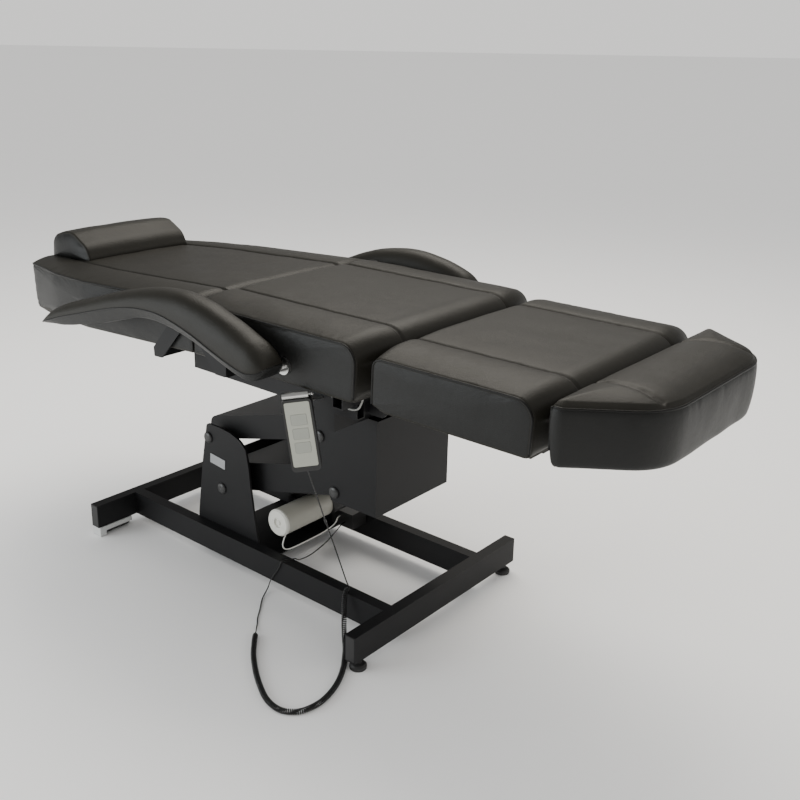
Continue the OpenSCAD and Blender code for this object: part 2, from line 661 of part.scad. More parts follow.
// Sleeve, gearbox and motor of a small actuator whose motor lies beside the sleeve
module small_actuator(y, side, len) difference() {
  union() {
    cross_pin([0, 0], eye_r - 2, y - eye_t / 2, y + eye_t / 2);
    translate([0, y - eye_t / 2, -8]) cube([26, eye_t, 16]);
    translate([24, min(y, y + side * motor_offset) - small_motor_r - 1, -sleeve_r - 2])
      cube([40, motor_offset + 2 * small_motor_r + 2, 2 * sleeve_r + 4]);
    translate([60, y, 0]) rotate([0, 90, 0]) cylinder(r = sleeve_r, h = len - 60, $fn = 48);
    translate([60, y + side * motor_offset, 0]) rotate([0, 90, 0])
      cylinder(r = small_motor_r, h = 120, $fn = 48);
  }
  cross_pin([0, 0], pin_r + run_gap, y - eye_t, y + eye_t);
  translate([50, y, 0]) rotate([0, 90, 0]) cylinder(r = 8 + run_gap, h = len, $fn = 48);
}
module small_rod(y, reach, start) difference() {
  union() {
    translate([start, y, 0]) rotate([0, 90, 0])
      cylinder(r = 8, h = reach - start - tongue_l, $fn = 48);
    translate([reach - tongue_l - 2, y - eye_t / 2, -6]) cube([tongue_l, eye_t, 12]);
    cross_pin([reach, 0], eye_r - 2, y - eye_t / 2, y + eye_t / 2);
  }
  cross_pin([reach, 0], pin_r + run_gap, y - eye_t, y + eye_t);
}
back_reach = norm(back_eye - back_foot);
leg_reach = norm(leg_eye - leg_foot);
module back_actuator() color([0.12, 0.12, 0.12]) aimed(back_foot, back_eye)
  small_actuator(back_act_y, 1, 340);
module back_actuator_rod() color(metal_colour) aimed(back_foot, back_eye)
  small_rod(back_act_y, back_reach, 70);
module leg_actuator() color([0.12, 0.12, 0.12]) aimed(leg_foot, leg_eye)
  small_actuator(leg_act_y, -1, 300);
module leg_actuator_rod() color(metal_colour) aimed(leg_foot, leg_eye)
  small_rod(leg_act_y, leg_reach, 220);

// ---- leg rest and footrest ----

slide_y = 120;
slide_r = 8;
slide_z = board_z0 - 15;
// Leg rest frame with its two sleeves for the footrest's rods
module leg_frame() color(steel_colour) difference() {
  union() {
    both_sides() translate([leg_x0 + 30, slide_y - 13, board_z0 - 28])
      cube([leg_l - 50, 26, 28]);
    for (x = [leg_x0 + 30, leg_x1 - 60]) {
      translate([x, -leg_lug_y - 20, board_z0 - 25]) cube([25, leg_lug_y + 20 - slide_y - 13, 25]);
      translate([x, -slide_y + 13, board_z0 - 25]) cube([25, 2 * slide_y - 26, 25]);
      translate([x, slide_y + 13, board_z0 - 25]) cube([25, leg_lug_y + 20 - slide_y - 13, 25]);
    }
    both_sides() difference() {
      upright(rounded([[leg_hinge.x - 12, leg_hinge.y + 11], [leg_hinge.x - 12, leg_hinge.y - 12],
        [leg_hinge.x + 10, leg_hinge.y - 14], [leg_x0 + 32, board_z0 - 25],
        [leg_x0 + 55, board_z0 - 25], [leg_x0 + 55, board_z0 - 1],
        [leg_hinge.x + 12, leg_hinge.y - 1], [leg_hinge.x + 12, leg_hinge.y + 11]],
        [10, 10, 0, 0, 0, 0, 0, 10]),
        leg_lug_y + leg_lug_t + 0.4, leg_lug_y + 2 * leg_lug_t + 0.4);
      cross_pin(leg_hinge, pin_r + run_gap, leg_lug_y, leg_lug_y + 3 * leg_lug_t);
    }
    eye_plates(rounded([[leg_x0 + 32, board_z0 - 20], [leg_eye.x - 14, leg_eye.y - 13],
      [leg_eye.x + 14, leg_eye.y - 13], [leg_eye.x + 22, board_z0 - 2], [leg_x0 + 32, board_z0 - 2]],
      [0, 12, 12, 0, 0]), leg_act_y, leg_eye);
  }
  both_sides() translate([leg_x0, slide_y, slide_z]) rotate([0, 90, 0])
    cylinder(r = slide_r + run_gap, h = leg_l + 50, $fn = 48);
}

module leg_board() color(plywood_colour)
  translate([leg_x0 + 14, -half_w + 12, board_z0]) cube([leg_l - 22, pad_w - 24, board_t]);

module leg_cushion() color(leather_colour)
  upright(rounded([[leg_x0, pad_z0], [leg_x1, pad_z0], [leg_x1 - 4, pad_z1 - 12],
    [leg_x0 + 4, pad_z1 - 12]], [8, 10, 30, 36]), -half_w, half_w);

// Height of the footrest's cushion
foot_pad_h = 105;
foot_outline = rounded([[foot_x0, -half_w], [foot_x0 + 22, -half_w],
  [foot_x1, -foot_front_w / 2], [foot_x1, foot_front_w / 2], [foot_x0 + 22, half_w],
  [foot_x0, half_w]], [10, 24, 60, 60, 24, 10], 5);
module footrest_cushion() color(leather_colour)
  translate([0, 0, pad_z0 + 2]) linear_extrude(foot_pad_h) polygon(foot_outline);

module footrest_board() color(plywood_colour)
  translate([foot_x0 + 8, -200, board_z0 + 2]) cube([foot_l - 40, 400, board_t]);

rod_cross_w = 30;
// Two round rods that slide in the leg frame, joined by a flat bar
module footrest_slides() color(metal_colour) {
  both_sides() translate([leg_x1 - 210, slide_y, slide_z]) rotate([0, 90, 0])
    cylinder(r = slide_r, h = 210 + 32 + 60, $fn = 48);
  translate([foot_x0 + 26, -slide_y - 20, slide_z + slide_r - 1])
    cube([rod_cross_w, 2 * slide_y + 40, board_z0 + 2 - slide_z - slide_r + 1]);
}

// ---- armrests ----

armrest_top = [at(330, 640), at(336, 668), at(306, 698), at(256, 724), at(180, 752),
  at(112, 772), at(40, 780), at(-40, 780), at(-120, 768), at(-220, 740), at(-320, 706),
  at(-420, 674), at(-500, 640)];
armrest_under = [at(-530, 616), at(-500, 608), at(-410, 630), at(-310, 659), at(-210, 690),
  at(-120, 706), at(-20, 702), at(80, 678), at(170, 648), at(240, 622), at(300, 614)];
armrest_outline = rounded(concat(armrest_top, armrest_under),
  [18, 20, 30, 60, 90, 90, 90, 90, 90, 90, 90, 60, 30, 8, 16, 60, 60, 60, 60, 60, 60,
   60, 30, 24], 3);
// Padded armrest over its steel core, bored for its pivot bolt
module armrest() difference() {
  upright(armrest_outline, armrest_y, armrest_y + armrest_w);
  cross_pin(armrest_pivot, armrest_pin_r + run_gap, armrest_y - 1, armrest_y + 41);
}
module left_armrest() color(leather_colour) armrest();
module right_armrest() color(leather_colour) mirror([0, 1, 0]) armrest();

// ---- handset ----

// The handset's own frame: top middle of its body, +X to its right, -Y out of its face
module hung() translate(handset_top) rotate([0, 0, handset_turn])
  rotate([0, handset_lean, 0]) children();

function soft_rect(w, z0, z1, r) = rounded([[-w / 2, z0], [w / 2, z0], [w / 2, z1],
  [-w / 2, z1]], r, 4);

face_w = handset_w - 2 * face_inset;
face_z1 = -6;
face_z0 = -handset_h + 12;
key_z = [-46, -78, -110];
key_w = 34;
key_h = 24;

module handset_body() color([0.05, 0.05, 0.05]) hung() difference() {
  upright(soft_rect(handset_w, -handset_h, 0, 9), 0, handset_t);
  upright(soft_rect(face_w + 0.4, face_z0 - 0.2, face_z1 + 0.2, 4), -1, 4);
}

module handset_face() color([0.66, 0.67, 0.62]) hung() difference() {
  upright(soft_rect(face_w, face_z0, face_z1, 3.8), -0.5, 4);
  for (z = key_z)
    upright([for (p = soft_rect(key_w + 2 * key_gap, -key_h / 2 - key_gap,
      key_h / 2 + key_gap, 3)) [p.x, p.y + z]], -1, 3);
}

// A rocker key: its upper half raises, its lower half lowers
module rocker_key(z) color([0.62, 0.63, 0.58]) hung()
  upright([for (p = soft_rect(key_w, -key_h / 2, key_h / 2, 2.6)) [p.x, p.y + z]],
    -0.9, -0.9 + key_t);
module back_key() rocker_key(key_z[0]);
module lift_key() rocker_key(key_z[1]);
module leg_key() rocker_key(key_z[2]);

hook_r = 7.5;
hook_len = 56;
hook_strip_w = 28;
// Bright roll that the handset hangs from, on a strip out of the seat's side tube
module handset_hook() color(metal_colour) {
  hung() {
    translate([-hook_len / 2, 4, hook_r + 1]) rotate([0, 90, 0])
      cylinder(r = hook_r, h = hook_len, $fn = 48);
    translate([hook_len / 2, 4, hook_r + 1]) rotate([0, 90, 0])
      rotate_extrude($fn = 32) polygon([[0, 0], [2, 0], [2, 4], [4, 6], [4, 9], [2, 11], [0, 11]]);
    translate([-hook_strip_w / 2, 4, 6]) cube([hook_strip_w, handset_t - 0.5, 3]);
    translate([-hook_strip_w / 2, handset_t + 0.5, -28]) cube([hook_strip_w, 3, 37]);
  }
  translate([base_x + 308, -303, frame_z0 + 28])
    cube([hook_strip_w + 4, 303 - side_tube_y - side_tube_w, 4]);
}

// ---- cords ----

module handset_lead() color([0.04, 0.04, 0.04]) swept_tube(lead_route, lead_r, 8, [1, 0, 0]);
module handset_coil() color([0.04, 0.04, 0.04]) swept_tube(coil_route, coil_cord_r, 10, [1, 0, 0]);
module handset_tail() color([0.04, 0.04, 0.04]) swept_tube(tail_route, lead_r, 8, [0.3, 0.2, 1]);
module motor_wire() color([0.8, 0.8, 0.78]) swept_tube(motor_wire_route, wire_r, 8, [1, 0, 0]);
module seat_cable() color([0.5, 0.5, 0.48]) swept_tube(seat_cable_route, wire_r + 0.5, 8, [0, 1, 0]);

head_crossbar();
foot_crossbar();
right_rail();
left_rail();
crossbar_end_caps();
levelling_feet();
roller_housings();
right_roller();
left_roller();
tower_right_plate();
tower_left_plate();
tower_web();
tower_pivot_bolts();
rating_plate();
control_box();
upper_arm();
lower_arm();
lift_gearbox();
lift_motor();
lift_motor_cap();
lift_rod();
carriage_frame();
carriage_cover();
carriage_pivot_bolts();
seat_side_tubes();
seat_cross_tubes();
seat_board();
seat_cushion();
seat_hinge_plates();
hinge_pins();
leg_hinge_lugs();
armrest_pivot_bolts();
handset_hook();
handset_body();
handset_face();
back_key();
lift_key();
leg_key();
back_frame();
back_board();
back_cushion();
pillow();
back_actuator();
back_actuator_rod();
leg_frame();
leg_board();
leg_cushion();
leg_actuator();
leg_actuator_rod();
footrest_slides();
footrest_board();
footrest_cushion();
right_armrest();
left_armrest();
handset_lead();
handset_coil();
handset_tail();
motor_wire();
seat_cable();
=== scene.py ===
# %% [markdown]
# # An electric facial treatment bed
# The steel frame, the lift and every hinge come from the CAD frame, at their real size.
# What is made here is what CAD is poor at: upholstery, piping, cords and finishes.
# The frame is loaded first.

# %% Load the frame
import bpy
import json
import math
from mathutils import Matrix, Vector, noise
from mathutils.kdtree import KDTree


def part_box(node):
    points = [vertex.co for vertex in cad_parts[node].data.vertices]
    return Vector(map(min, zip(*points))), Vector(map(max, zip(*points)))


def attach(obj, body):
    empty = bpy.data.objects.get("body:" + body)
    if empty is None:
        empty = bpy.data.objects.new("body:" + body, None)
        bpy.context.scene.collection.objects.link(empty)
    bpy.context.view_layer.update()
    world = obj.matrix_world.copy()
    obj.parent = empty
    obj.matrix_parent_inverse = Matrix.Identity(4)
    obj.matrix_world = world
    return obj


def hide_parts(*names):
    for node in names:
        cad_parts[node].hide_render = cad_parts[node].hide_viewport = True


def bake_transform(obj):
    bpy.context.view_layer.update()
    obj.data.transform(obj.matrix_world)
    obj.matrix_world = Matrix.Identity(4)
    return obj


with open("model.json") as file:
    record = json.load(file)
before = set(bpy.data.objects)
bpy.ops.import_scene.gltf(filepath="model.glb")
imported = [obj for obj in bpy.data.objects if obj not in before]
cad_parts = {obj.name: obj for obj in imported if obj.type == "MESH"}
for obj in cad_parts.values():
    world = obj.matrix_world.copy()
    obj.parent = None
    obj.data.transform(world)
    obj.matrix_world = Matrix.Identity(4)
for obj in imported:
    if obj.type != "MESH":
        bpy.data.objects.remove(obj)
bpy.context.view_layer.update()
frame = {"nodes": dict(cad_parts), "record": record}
MM = 0.001


# %% [markdown]
# ## Camera
# The bed is seen from its foot end and its right side, from a little above seat height.
# The lens is a short telephoto, and a small shift keeps the bed where it is in the frame.

# %% Camera
CAMERA_AT = Vector((1.6347, -1.7304, 1.3509))
AZIMUTH, PITCH, ROLL = math.radians(40.1), math.radians(18.1), 0.017

back = Vector((math.sin(AZIMUTH) * math.cos(PITCH), -math.cos(AZIMUTH) * math.cos(PITCH),
               math.sin(PITCH)))
level = Vector((0, 0, 1)).cross(back).normalized()
upward = back.cross(level)
right = math.cos(ROLL) * level + math.sin(ROLL) * upward
up = -math.sin(ROLL) * level + math.cos(ROLL) * upward

camera = bpy.data.objects.new("camera", bpy.data.cameras.new("camera"))
bpy.context.scene.collection.objects.link(camera)
camera.matrix_world = Matrix((right, up, back)).transposed().to_4x4()
camera.location = CAMERA_AT
camera.data.sensor_width = 36
camera.data.lens = 45.17
camera.data.shift_x = 0.0135
camera.data.shift_y = -0.0434
camera.data.clip_end = 100
bpy.context.scene.camera = camera


# %% [markdown]
# ## Studio
# Black leather shows its shape only through soft reflections, so the lights are large
# panels: one overhead, one along the near side and a weaker one at the foot end. The
# room lights everything evenly, but reflections see it dimmer, as black drapes would do.

# %% Studio
def panel_light(name, at, aim, size, watts, colour=(1, 1, 1)):
    """A square soft light at one place, turned towards another."""
    data = bpy.data.lights.new(name, "AREA")
    data.shape, data.size, data.energy, data.color = "SQUARE", size, watts, colour
    lamp = bpy.data.objects.new(name, data)
    lamp.location = at
    lamp.rotation_euler = (Vector(aim) - Vector(at)).to_track_quat("-Z", "Y").to_euler()
    bpy.context.scene.collection.objects.link(lamp)


panel_light("overhead", (-0.8, 1.6, 3.6), (0, 0, 0.7), 2.6, 120, (1, 0.95, 0.86))
panel_light("near_side", (-2.2, -3.2, 1.3), (-0.2, -0.2, 0.6), 2.0, 75, (0.93, 0.98, 1))
panel_light("foot_end", (3.4, 0.9, 1.9), (0.3, 0, 0.6), 1.4, 12, (1, 0.95, 0.86))

world = bpy.data.worlds.new("studio")
bpy.context.scene.world = world
world.use_nodes = True
room = world.node_tree.nodes["Background"]
room.inputs["Color"].default_value = (1, 0.99, 0.97, 1)
sight = world.node_tree.nodes.new("ShaderNodeLightPath")
level_of_light = world.node_tree.nodes.new("ShaderNodeMapRange")
level_of_light.inputs["To Min"].default_value = 1.0
level_of_light.inputs["To Max"].default_value = 0.34
world.node_tree.links.new(sight.outputs["Is Glossy Ray"], level_of_light.inputs["Value"])
world.node_tree.links.new(level_of_light.outputs["Result"], room.inputs["Strength"])


# %% [markdown]
# ## Shader sums
# A finish is written like a formula. A Wire is a socket that can be added and multiplied,
# and each sum adds its own Math node. A Finish owns one material and adds other nodes.

# %% Wires and finishes
class Wire:
    """A socket that takes part in sums."""

    def __init__(self, tree, socket):
        self.tree, self.socket = tree, socket

    def math(self, operation, first, second=None):
        node = self.tree.nodes.new("ShaderNodeMath")
        node.operation = operation
        for place, value in enumerate((first, second)):
            if isinstance(value, Wire):
                self.tree.links.new(value.socket, node.inputs[place])
            elif value is not None:
                node.inputs[place].default_value = value
        return Wire(self.tree, node.outputs[0])

    def __add__(self, other):
        return self.math("ADD", self, other)

    def __radd__(self, other):
        return self.math("ADD", other, self)

    def __sub__(self, other):
        return self.math("SUBTRACT", self, other)

    def __rsub__(self, other):
        return self.math("SUBTRACT", other, self)

    def __mul__(self, other):
        return self.math("MULTIPLY", self, other)

    def __rmul__(self, other):
        return self.math("MULTIPLY", other, self)

    def __pow__(self, other):
        return self.math("POWER", self, other)


class Finish:
    """One material: a Principled shader, and the nodes that vary it."""

    def __init__(self, name, **constants):
        self.material = bpy.data.materials.new(name)
        self.material.use_nodes = True
        self.tree = self.material.node_tree
        self.shader = self.tree.nodes["Principled BSDF"]
        for socket, value in constants.items():
            self.shader.inputs[socket.replace("_", " ").title().replace("Ior", "IOR")
                               ].default_value = value
        self.at = self.node("TexCoord", out="Object")

    def node(self, kind, settings=None, sockets=None, out=0):
        """Adds a node: its settings first, then its sockets' values or links."""
        node = self.tree.nodes.new("ShaderNode" + kind)
        for name, value in (settings or {}).items():
            if name == "stops":
                for stop, (place, colour) in zip(node.color_ramp.elements, value):
                    stop.position, stop.color = place, (*colour, 1)
            else:
                setattr(node, name, value)
        for name, value in (sockets or {}).items():
            if isinstance(value, Wire):
                self.tree.links.new(value.socket, node.inputs[name])
            else:
                node.inputs[name].default_value = value
        return Wire(self.tree, node.outputs[out])

    def noise(self, scale, detail=3, roughness=0.5):
        return self.node("TexNoise", {}, {"Vector": self.at, "Scale": scale,
                                          "Detail": detail, "Roughness": roughness})

    def cells(self, scale, feature="F1"):
        return self.node("TexVoronoi", {"feature": feature},
                         {"Vector": self.at, "Scale": scale})

    def stretched(self, scale, by):
        at = self.node("Mapping", {}, {"Vector": self.at, "Scale": by})
        return self.node("TexNoise", {}, {"Vector": at, "Scale": scale, "Detail": 4})

    def blend_colours(self, factor, low, high):
        return self.node("Mix", {"data_type": "RGBA"},
                         {0: factor, 6: (*low, 1), 7: (*high, 1)}, out=2)

    def feed(self, socket, wire):
        self.tree.links.new(wire.socket, self.shader.inputs[socket])

    def bump(self, height, depth):
        """Height in metres over the surface, through a Bump node to the normal."""
        self.feed("Normal", self.node("Bump", {}, {"Height": height, "Strength": 1.0,
                                                   "Distance": depth}))


# %% [markdown]
# ## Finishes
# The cover is near-black synthetic leather: small pebbled cells, and slow changes of gloss
# where it is stretched. Its top is a lighter, warmer copy with painted light, and its side
# panels a darker, cooler copy with painted shade. The steel is powder coated, which is
# matt with a fine orange peel. Each finish below changes over the surface in its own way.

# %% Leather
def leather(name, low, high, roughness=0.4):
    skin = Finish(name, specular_ior_level=0.24)
    grain = skin.cells(420, "DISTANCE_TO_EDGE")
    pores = skin.noise(900, 4, 0.6)
    slow = skin.noise(7, 4, 0.55)
    creases = skin.noise(38, 5, 0.62)
    skin.feed("Base Color", skin.blend_colours(slow * 0.7 + pores * 0.3, low, high))
    skin.feed("Roughness", roughness - 0.07 + slow * 0.12 + pores * 0.05)
    skin.bump(grain * 0.55 + pores * 0.25 + creases * 1.4, 0.0006)
    return skin.material


# One leather in two copies: the top copy is painted lighter and warmer as if lit, and the side copy
# is painted darker and cooler as painted shade.
leather_painted_lit = leather("leather_painted_lit", (0.0095, 0.0088, 0.0066), (0.017, 0.0155, 0.0115), 0.46)
leather_painted_shade = leather("leather_painted_shade", (0.0072, 0.0074, 0.0072), (0.0125, 0.0128, 0.012), 0.42)
leather_piping = leather("leather_piping", (0.004, 0.004, 0.004), (0.008, 0.008, 0.007), 0.4)


# %% [markdown]
# ## Metals, plastics, rubber and wood
# Paint and moulded plastic share one recipe: two close tones, and a fine texture that
# breaks up the gloss. Bright metal gets hair lines, which come from a noise stretched
# along one direction. The plywood under the padding is made near-black.

# %% Metals, plastics, rubber and wood
def coated(name, low, high, rough, peel_scale, depth, metallic=0.0, shine=0.5):
    """Paint, powder coat, plastic or rubber: two close tones and a fine texture."""
    coat = Finish(name, metallic=metallic, specular_ior_level=shine)
    peel = coat.noise(peel_scale, 3, 0.55)
    slow = coat.noise(5, 3, 0.6)
    coat.feed("Base Color", coat.blend_colours(slow, low, high))
    coat.feed("Roughness", rough - 0.06 + peel * 0.12)
    coat.bump(peel, depth)
    return coat.material


def brushed(name, low, high, rough, along):
    """Bright metal with hair lines along one direction."""
    metal = Finish(name, metallic=1.0)
    lines = metal.stretched(900, along)
    marks = metal.noise(14, 4, 0.6)
    metal.feed("Base Color", metal.blend_colours(marks, low, high))
    metal.feed("Roughness", rough - 0.05 + lines * 0.12 + marks * 0.06)
    metal.bump(lines, 0.00003)
    return metal.material


def layered_wood(name):
    """Plywood in near-black tones: faint stripes of plies on its edges and a soft grain."""
    wood = Finish(name)
    plies = wood.stretched(60, (0.4, 0.4, 9))
    grain = wood.stretched(60, (0.25, 5, 5))
    wood.feed("Base Color", wood.blend_colours(plies * 0.6 + grain * 0.4,
                                               (0.016, 0.014, 0.012), (0.040, 0.034, 0.028)))
    wood.feed("Roughness", 0.62 + grain * 0.15)
    wood.bump(grain, 0.0002)
    return wood.material


finishes = {
    "black_steel": coated("powder_coat", (0.0055, 0.0055, 0.006), (0.010, 0.010, 0.011),
                          0.5, 1400, 0.00008, shine=0.22),
    "black_fasteners": coated("black_oxide", (0.014, 0.014, 0.014), (0.03, 0.03, 0.03),
                              0.36, 700, 0.00004),
    "bright_steel": brushed("ground_steel", (0.56, 0.56, 0.55), (0.72, 0.72, 0.71), 0.26,
                            (0.1, 1, 1)),
    "zinc_housing": coated("grey_enamel", (0.50, 0.51, 0.51), (0.60, 0.61, 0.60), 0.4, 900,
                           0.00005),
    "roller_rubber": coated("roller_rubber", (0.018, 0.018, 0.018), (0.035, 0.034, 0.033),
                            0.7, 600, 0.0001),
    "foot_plastic": coated("foot_rubber", (0.012, 0.012, 0.012), (0.024, 0.024, 0.024), 0.55,
                           800, 0.00006),
    "black_plastic": coated("black_moulding", (0.012, 0.012, 0.012), (0.02, 0.02, 0.02),
                            0.42, 1200, 0.00006),
    "motor_grey": coated("motor_enamel", (0.36, 0.355, 0.31), (0.45, 0.44, 0.39), 0.38, 700,
                         0.00005),
    "cap_white": coated("pale_moulding", (0.62, 0.62, 0.57), (0.72, 0.72, 0.67), 0.36, 900,
                        0.00004),
    "plate_aluminium": brushed("plate_aluminium", (0.30, 0.31, 0.32), (0.42, 0.43, 0.44),
                               0.4, (0.1, 1, 1)),
    "plywood": layered_wood("plywood"),
    "handset_silver": coated("satin_fascia", (0.36, 0.37, 0.32), (0.42, 0.43, 0.375), 0.36,
                             1600, 0.00003, 0.25),
    "key_grey": coated("key_rubber", (0.30, 0.31, 0.275), (0.36, 0.37, 0.33), 0.5, 1500,
                       0.00004),
    "cord_black": coated("cord_sheath", (0.008, 0.008, 0.008), (0.014, 0.014, 0.014), 0.24,
                         500, 0.00003),
    "wire_white": coated("wire_sheath", (0.66, 0.66, 0.62), (0.76, 0.76, 0.72), 0.4, 500,
                         0.00003),
    "cable_grey": coated("cable_sheath", (0.24, 0.24, 0.23), (0.32, 0.32, 0.30), 0.42, 500,
                         0.00003),
    "leather": leather_painted_lit,
}
slot_of = {part["node"]: part["material_slot"] for part in frame["record"]["subparts"]}
for name, node in frame["nodes"].items():
    for slot in node.material_slots:
        slot.material = finishes[slot_of[name]]
print(len(finishes), "finishes on", len(frame["nodes"]), "nodes")


# %% [markdown]
# ## Floor
# A plain pale floor catches the soft shadow. It isn't part of the bed.

# %% Floor
bpy.ops.object.select_all(action="DESELECT")
bpy.ops.mesh.primitive_plane_add(size=300, location=(0, 0, 0))
floor = bpy.context.object
floor.name = "floor"
floor.data.materials.append(coated("floor_paint", (0.90, 0.90, 0.90), (0.92, 0.92, 0.92),
                                   0.75, 40, 0.0001))


# %% [markdown]
# ## Meshes from rings
# Upholstery and cords are both rings of points joined side by side. One helper joins
# them, closes the ends if asked, and gives each face its finish.

# %% Ring helper
def mesh_piece(name, points, faces, materials, face_finish=None):
    mesh = bpy.data.meshes.new(name)
    mesh.from_pydata([tuple(p) for p in points], [], faces)
    for material in materials:
        mesh.materials.append(material)
    if face_finish:
        mesh.polygons.foreach_set("material_index", face_finish)
    mesh.polygons.foreach_set("use_smooth", [True] * len(mesh.polygons))
    mesh.update()
    piece = bpy.data.objects.new(name, mesh)
    bpy.context.scene.collection.objects.link(piece)
    return piece


def ring_faces(rings, count, first=0):
    """Faces between successive rings of the same count."""
    return [(first + r * count + k, first + (r + 1) * count + k,
             first + (r + 1) * count + (k + 1) % count, first + r * count + (k + 1) % count)
            for r in range(rings - 1) for k in range(count)]


def smooth_route(knots, step):
    """A Catmull-Rom line through the knots, with a point about every step."""
    knots = [Vector(k) for k in knots]
    ends = [2 * knots[0] - knots[1]] + knots + [2 * knots[-1] - knots[-2]]
    line = []
    for a, b, c, d in zip(ends, ends[1:], ends[2:], ends[3:]):
        pieces = max(1, round((c - b).length / step))
        for i in range(pieces):
            t = i / pieces
            line.append(0.5 * (2 * b + (c - a) * t + (2 * a - 5 * b + 4 * c - d) * t * t
                               + (3 * b - a - 3 * c + d) * t * t * t))
    return line + [knots[-1]]


def line_length(line):
    return sum((q - p).length for p, q in zip(line, line[1:]))


def carried_frames(line, side):
    """Two directions across the line at each point, turning as little as they can."""
    frames = []
    for i in range(len(line)):
        ahead = (line[min(i + 1, len(line) - 1)] - line[max(i - 1, 0)]).normalized()
        side = (side - side.dot(ahead) * ahead).normalized()
        frames.append((side.copy(), ahead.cross(side)))
    return frames


START_SIDE = Vector((0.3, 1, 0.2))


def tube(name, line, radius, material, sides=8):
    """A round tube along a line of points."""
    frames = carried_frames(line, START_SIDE)
    points = [at + radius * (math.cos(2 * math.pi * k / sides) * u
                             + math.sin(2 * math.pi * k / sides) * v)
              for at, (u, v) in zip(line, frames) for k in range(sides)]
    faces = [tuple(reversed(f)) for f in ring_faces(len(line), sides)]
    last = (len(line) - 1) * sides
    faces.append(tuple(range(sides)))
    faces.append(tuple(last + k for k in reversed(range(sides))))
    return mesh_piece(name, points, faces, [material])


# %% [markdown]
# ## Cords
# The handset's cord leaves the handset straight, meets a curly stretch on top of the
# rail, which sags to the floor in one wide loop, and goes on as a thin tail over the
# rail to the control box. It is made in two pieces.
# The curls are a helix worked out round the middle line.

# %% Cord routes
LEAD_ROUTE = [(215.7, -314, 457), (215.6, -308, 441), (215.3, -285, 382), (215, -258, 311)]
DROP_ROUTE = [(215, -258, 311), (214.7, -230, 240), (214.4, -204, 172), (214.2, -188, 130),
              (214, -179, 111)]
COIL_ROUTE = [(214, -176, 103), (215, -185, 104.5), (218, -194, 101), (221, -201, 91),
              (224, -206, 74), (230, -212, 54), (243, -226, 34), (260, -242, 16),
              (277, -258, 8), (300, -285, 7), (327, -320, 7), (351, -362, 7),
              (367, -408, 7), (371, -450, 7), (359, -490, 7), (327, -512, 7),
              (283, -508, 7), (237, -486, 7), (191, -457, 7), (145, -422, 7),
              (107, -386, 7), (76, -353, 7)]
TAIL_ROUTE = [(76, -353, 7), (65, -341, 5), (45, -320, 2), (25, -300, 2), (-1, -268, 2),
              (-27, -238, 2), (-43, -212, 4), (-50, -195, 10), (-49, -189, 24),
              (-39, -188, 42), (-25, -188, 62), (-13, -188, 82), (-8, -187, 95),
              (-3, -178, 98), (3, -165, 97.5), (7, -152, 96), (7, -140, 88),
              (1, -100, 80), (-9, -60, 76), (-25, 0, 76), (-41, 50, 80),
              (-51, 82, 84), (-53, 98, 84)]
MOTOR_WIRE_ROUTE = [(-63, -118, 124), (-62, -126, 114), (-59, -132, 98), (-49, -120, 90),
                    (-35, -60, 98), (-33, 0, 102), (-47, 50, 100), (-69, 84, 96),
                    (-73, 98, 96)]
SEAT_CABLE_ROUTE = [(216, -252, 638), (230, -252, 613), (246, -252, 604), (265, -252, 599),
                    (285, -252, 597), (300, -252, 600), (309, -252, 606),
                    (317, -252, 622), (322, -252, 638)]
WIRE_R = 1.6 * MM
COIL_R = 5.3 * MM
COIL_PITCH = 4.6 * MM
POINTS_PER_TURN = 12


def metres(route):
    return [Vector(p) * MM for p in route]


def helix(line, radius, pitch):
    """A wire wound round a line, easing out of it and back at both ends."""
    frames = carried_frames(line, START_SIDE)
    length = line_length(line)
    run, wound = 0.0, []
    steps = round(length / pitch * POINTS_PER_TURN)
    marks = [0.0]
    for p, q in zip(line, line[1:]):
        marks.append(marks[-1] + (q - p).length)
    seg = 0
    for i in range(steps + 1):
        run = length * i / steps
        while seg < len(line) - 2 and marks[seg + 1] < run:
            seg += 1
        t = (run - marks[seg]) / max(1e-9, marks[seg + 1] - marks[seg])
        at = line[seg].lerp(line[seg + 1], t)
        u = frames[seg][0].lerp(frames[seg + 1][0], t)
        v = frames[seg][1].lerp(frames[seg + 1][1], t)
        ease = min(1.0, run / (2 * pitch), (length - run) / (2 * pitch))
        turn = 2 * math.pi * i / POINTS_PER_TURN
        wound.append(at + radius * ease * (math.cos(turn) * u + math.sin(turn) * v))
    return wound


# %% [markdown]
# ## Joiner sleeve
# A small moulded sleeve joins the straight lead to the rest of the cord. A turned shape
# like this starts as a disc, which is extruded ring by ring and scaled at each step.

# %% Joiner sleeve between the two cords
def turned_sleeve(name, at, ahead, profile, material):
    """A moulded sleeve turned from (distance along, radius) pairs in mm: a disc is
    extruded up ring by ring, scaled at each step, then laid along a direction."""
    bpy.ops.object.select_all(action="DESELECT")
    bpy.ops.mesh.primitive_circle_add(vertices=24, radius=profile[0][1] * MM,
                                      fill_type="NGON")
    sleeve = bpy.context.object
    sleeve.name = name
    bpy.ops.object.mode_set(mode="EDIT")
    for (da, ra), (db, rb) in zip(profile, profile[1:]):
        bpy.ops.mesh.extrude_region_move(TRANSFORM_OT_translate={"value": (0, 0,
                                                                          (db - da) * MM)})
        bpy.ops.transform.resize(value=(rb / ra, rb / ra, 1))
    bpy.ops.mesh.select_all(action="SELECT")
    bpy.ops.mesh.normals_make_consistent(inside=False)
    bpy.ops.object.mode_set(mode="OBJECT")
    sleeve.data.transform(Matrix.Translation(at)
                          @ ahead.to_track_quat("Z", "Y").to_matrix().to_4x4())
    sleeve.data.materials.append(material)
    bpy.ops.object.shade_smooth_by_angle(angle=math.radians(40))
    return sleeve


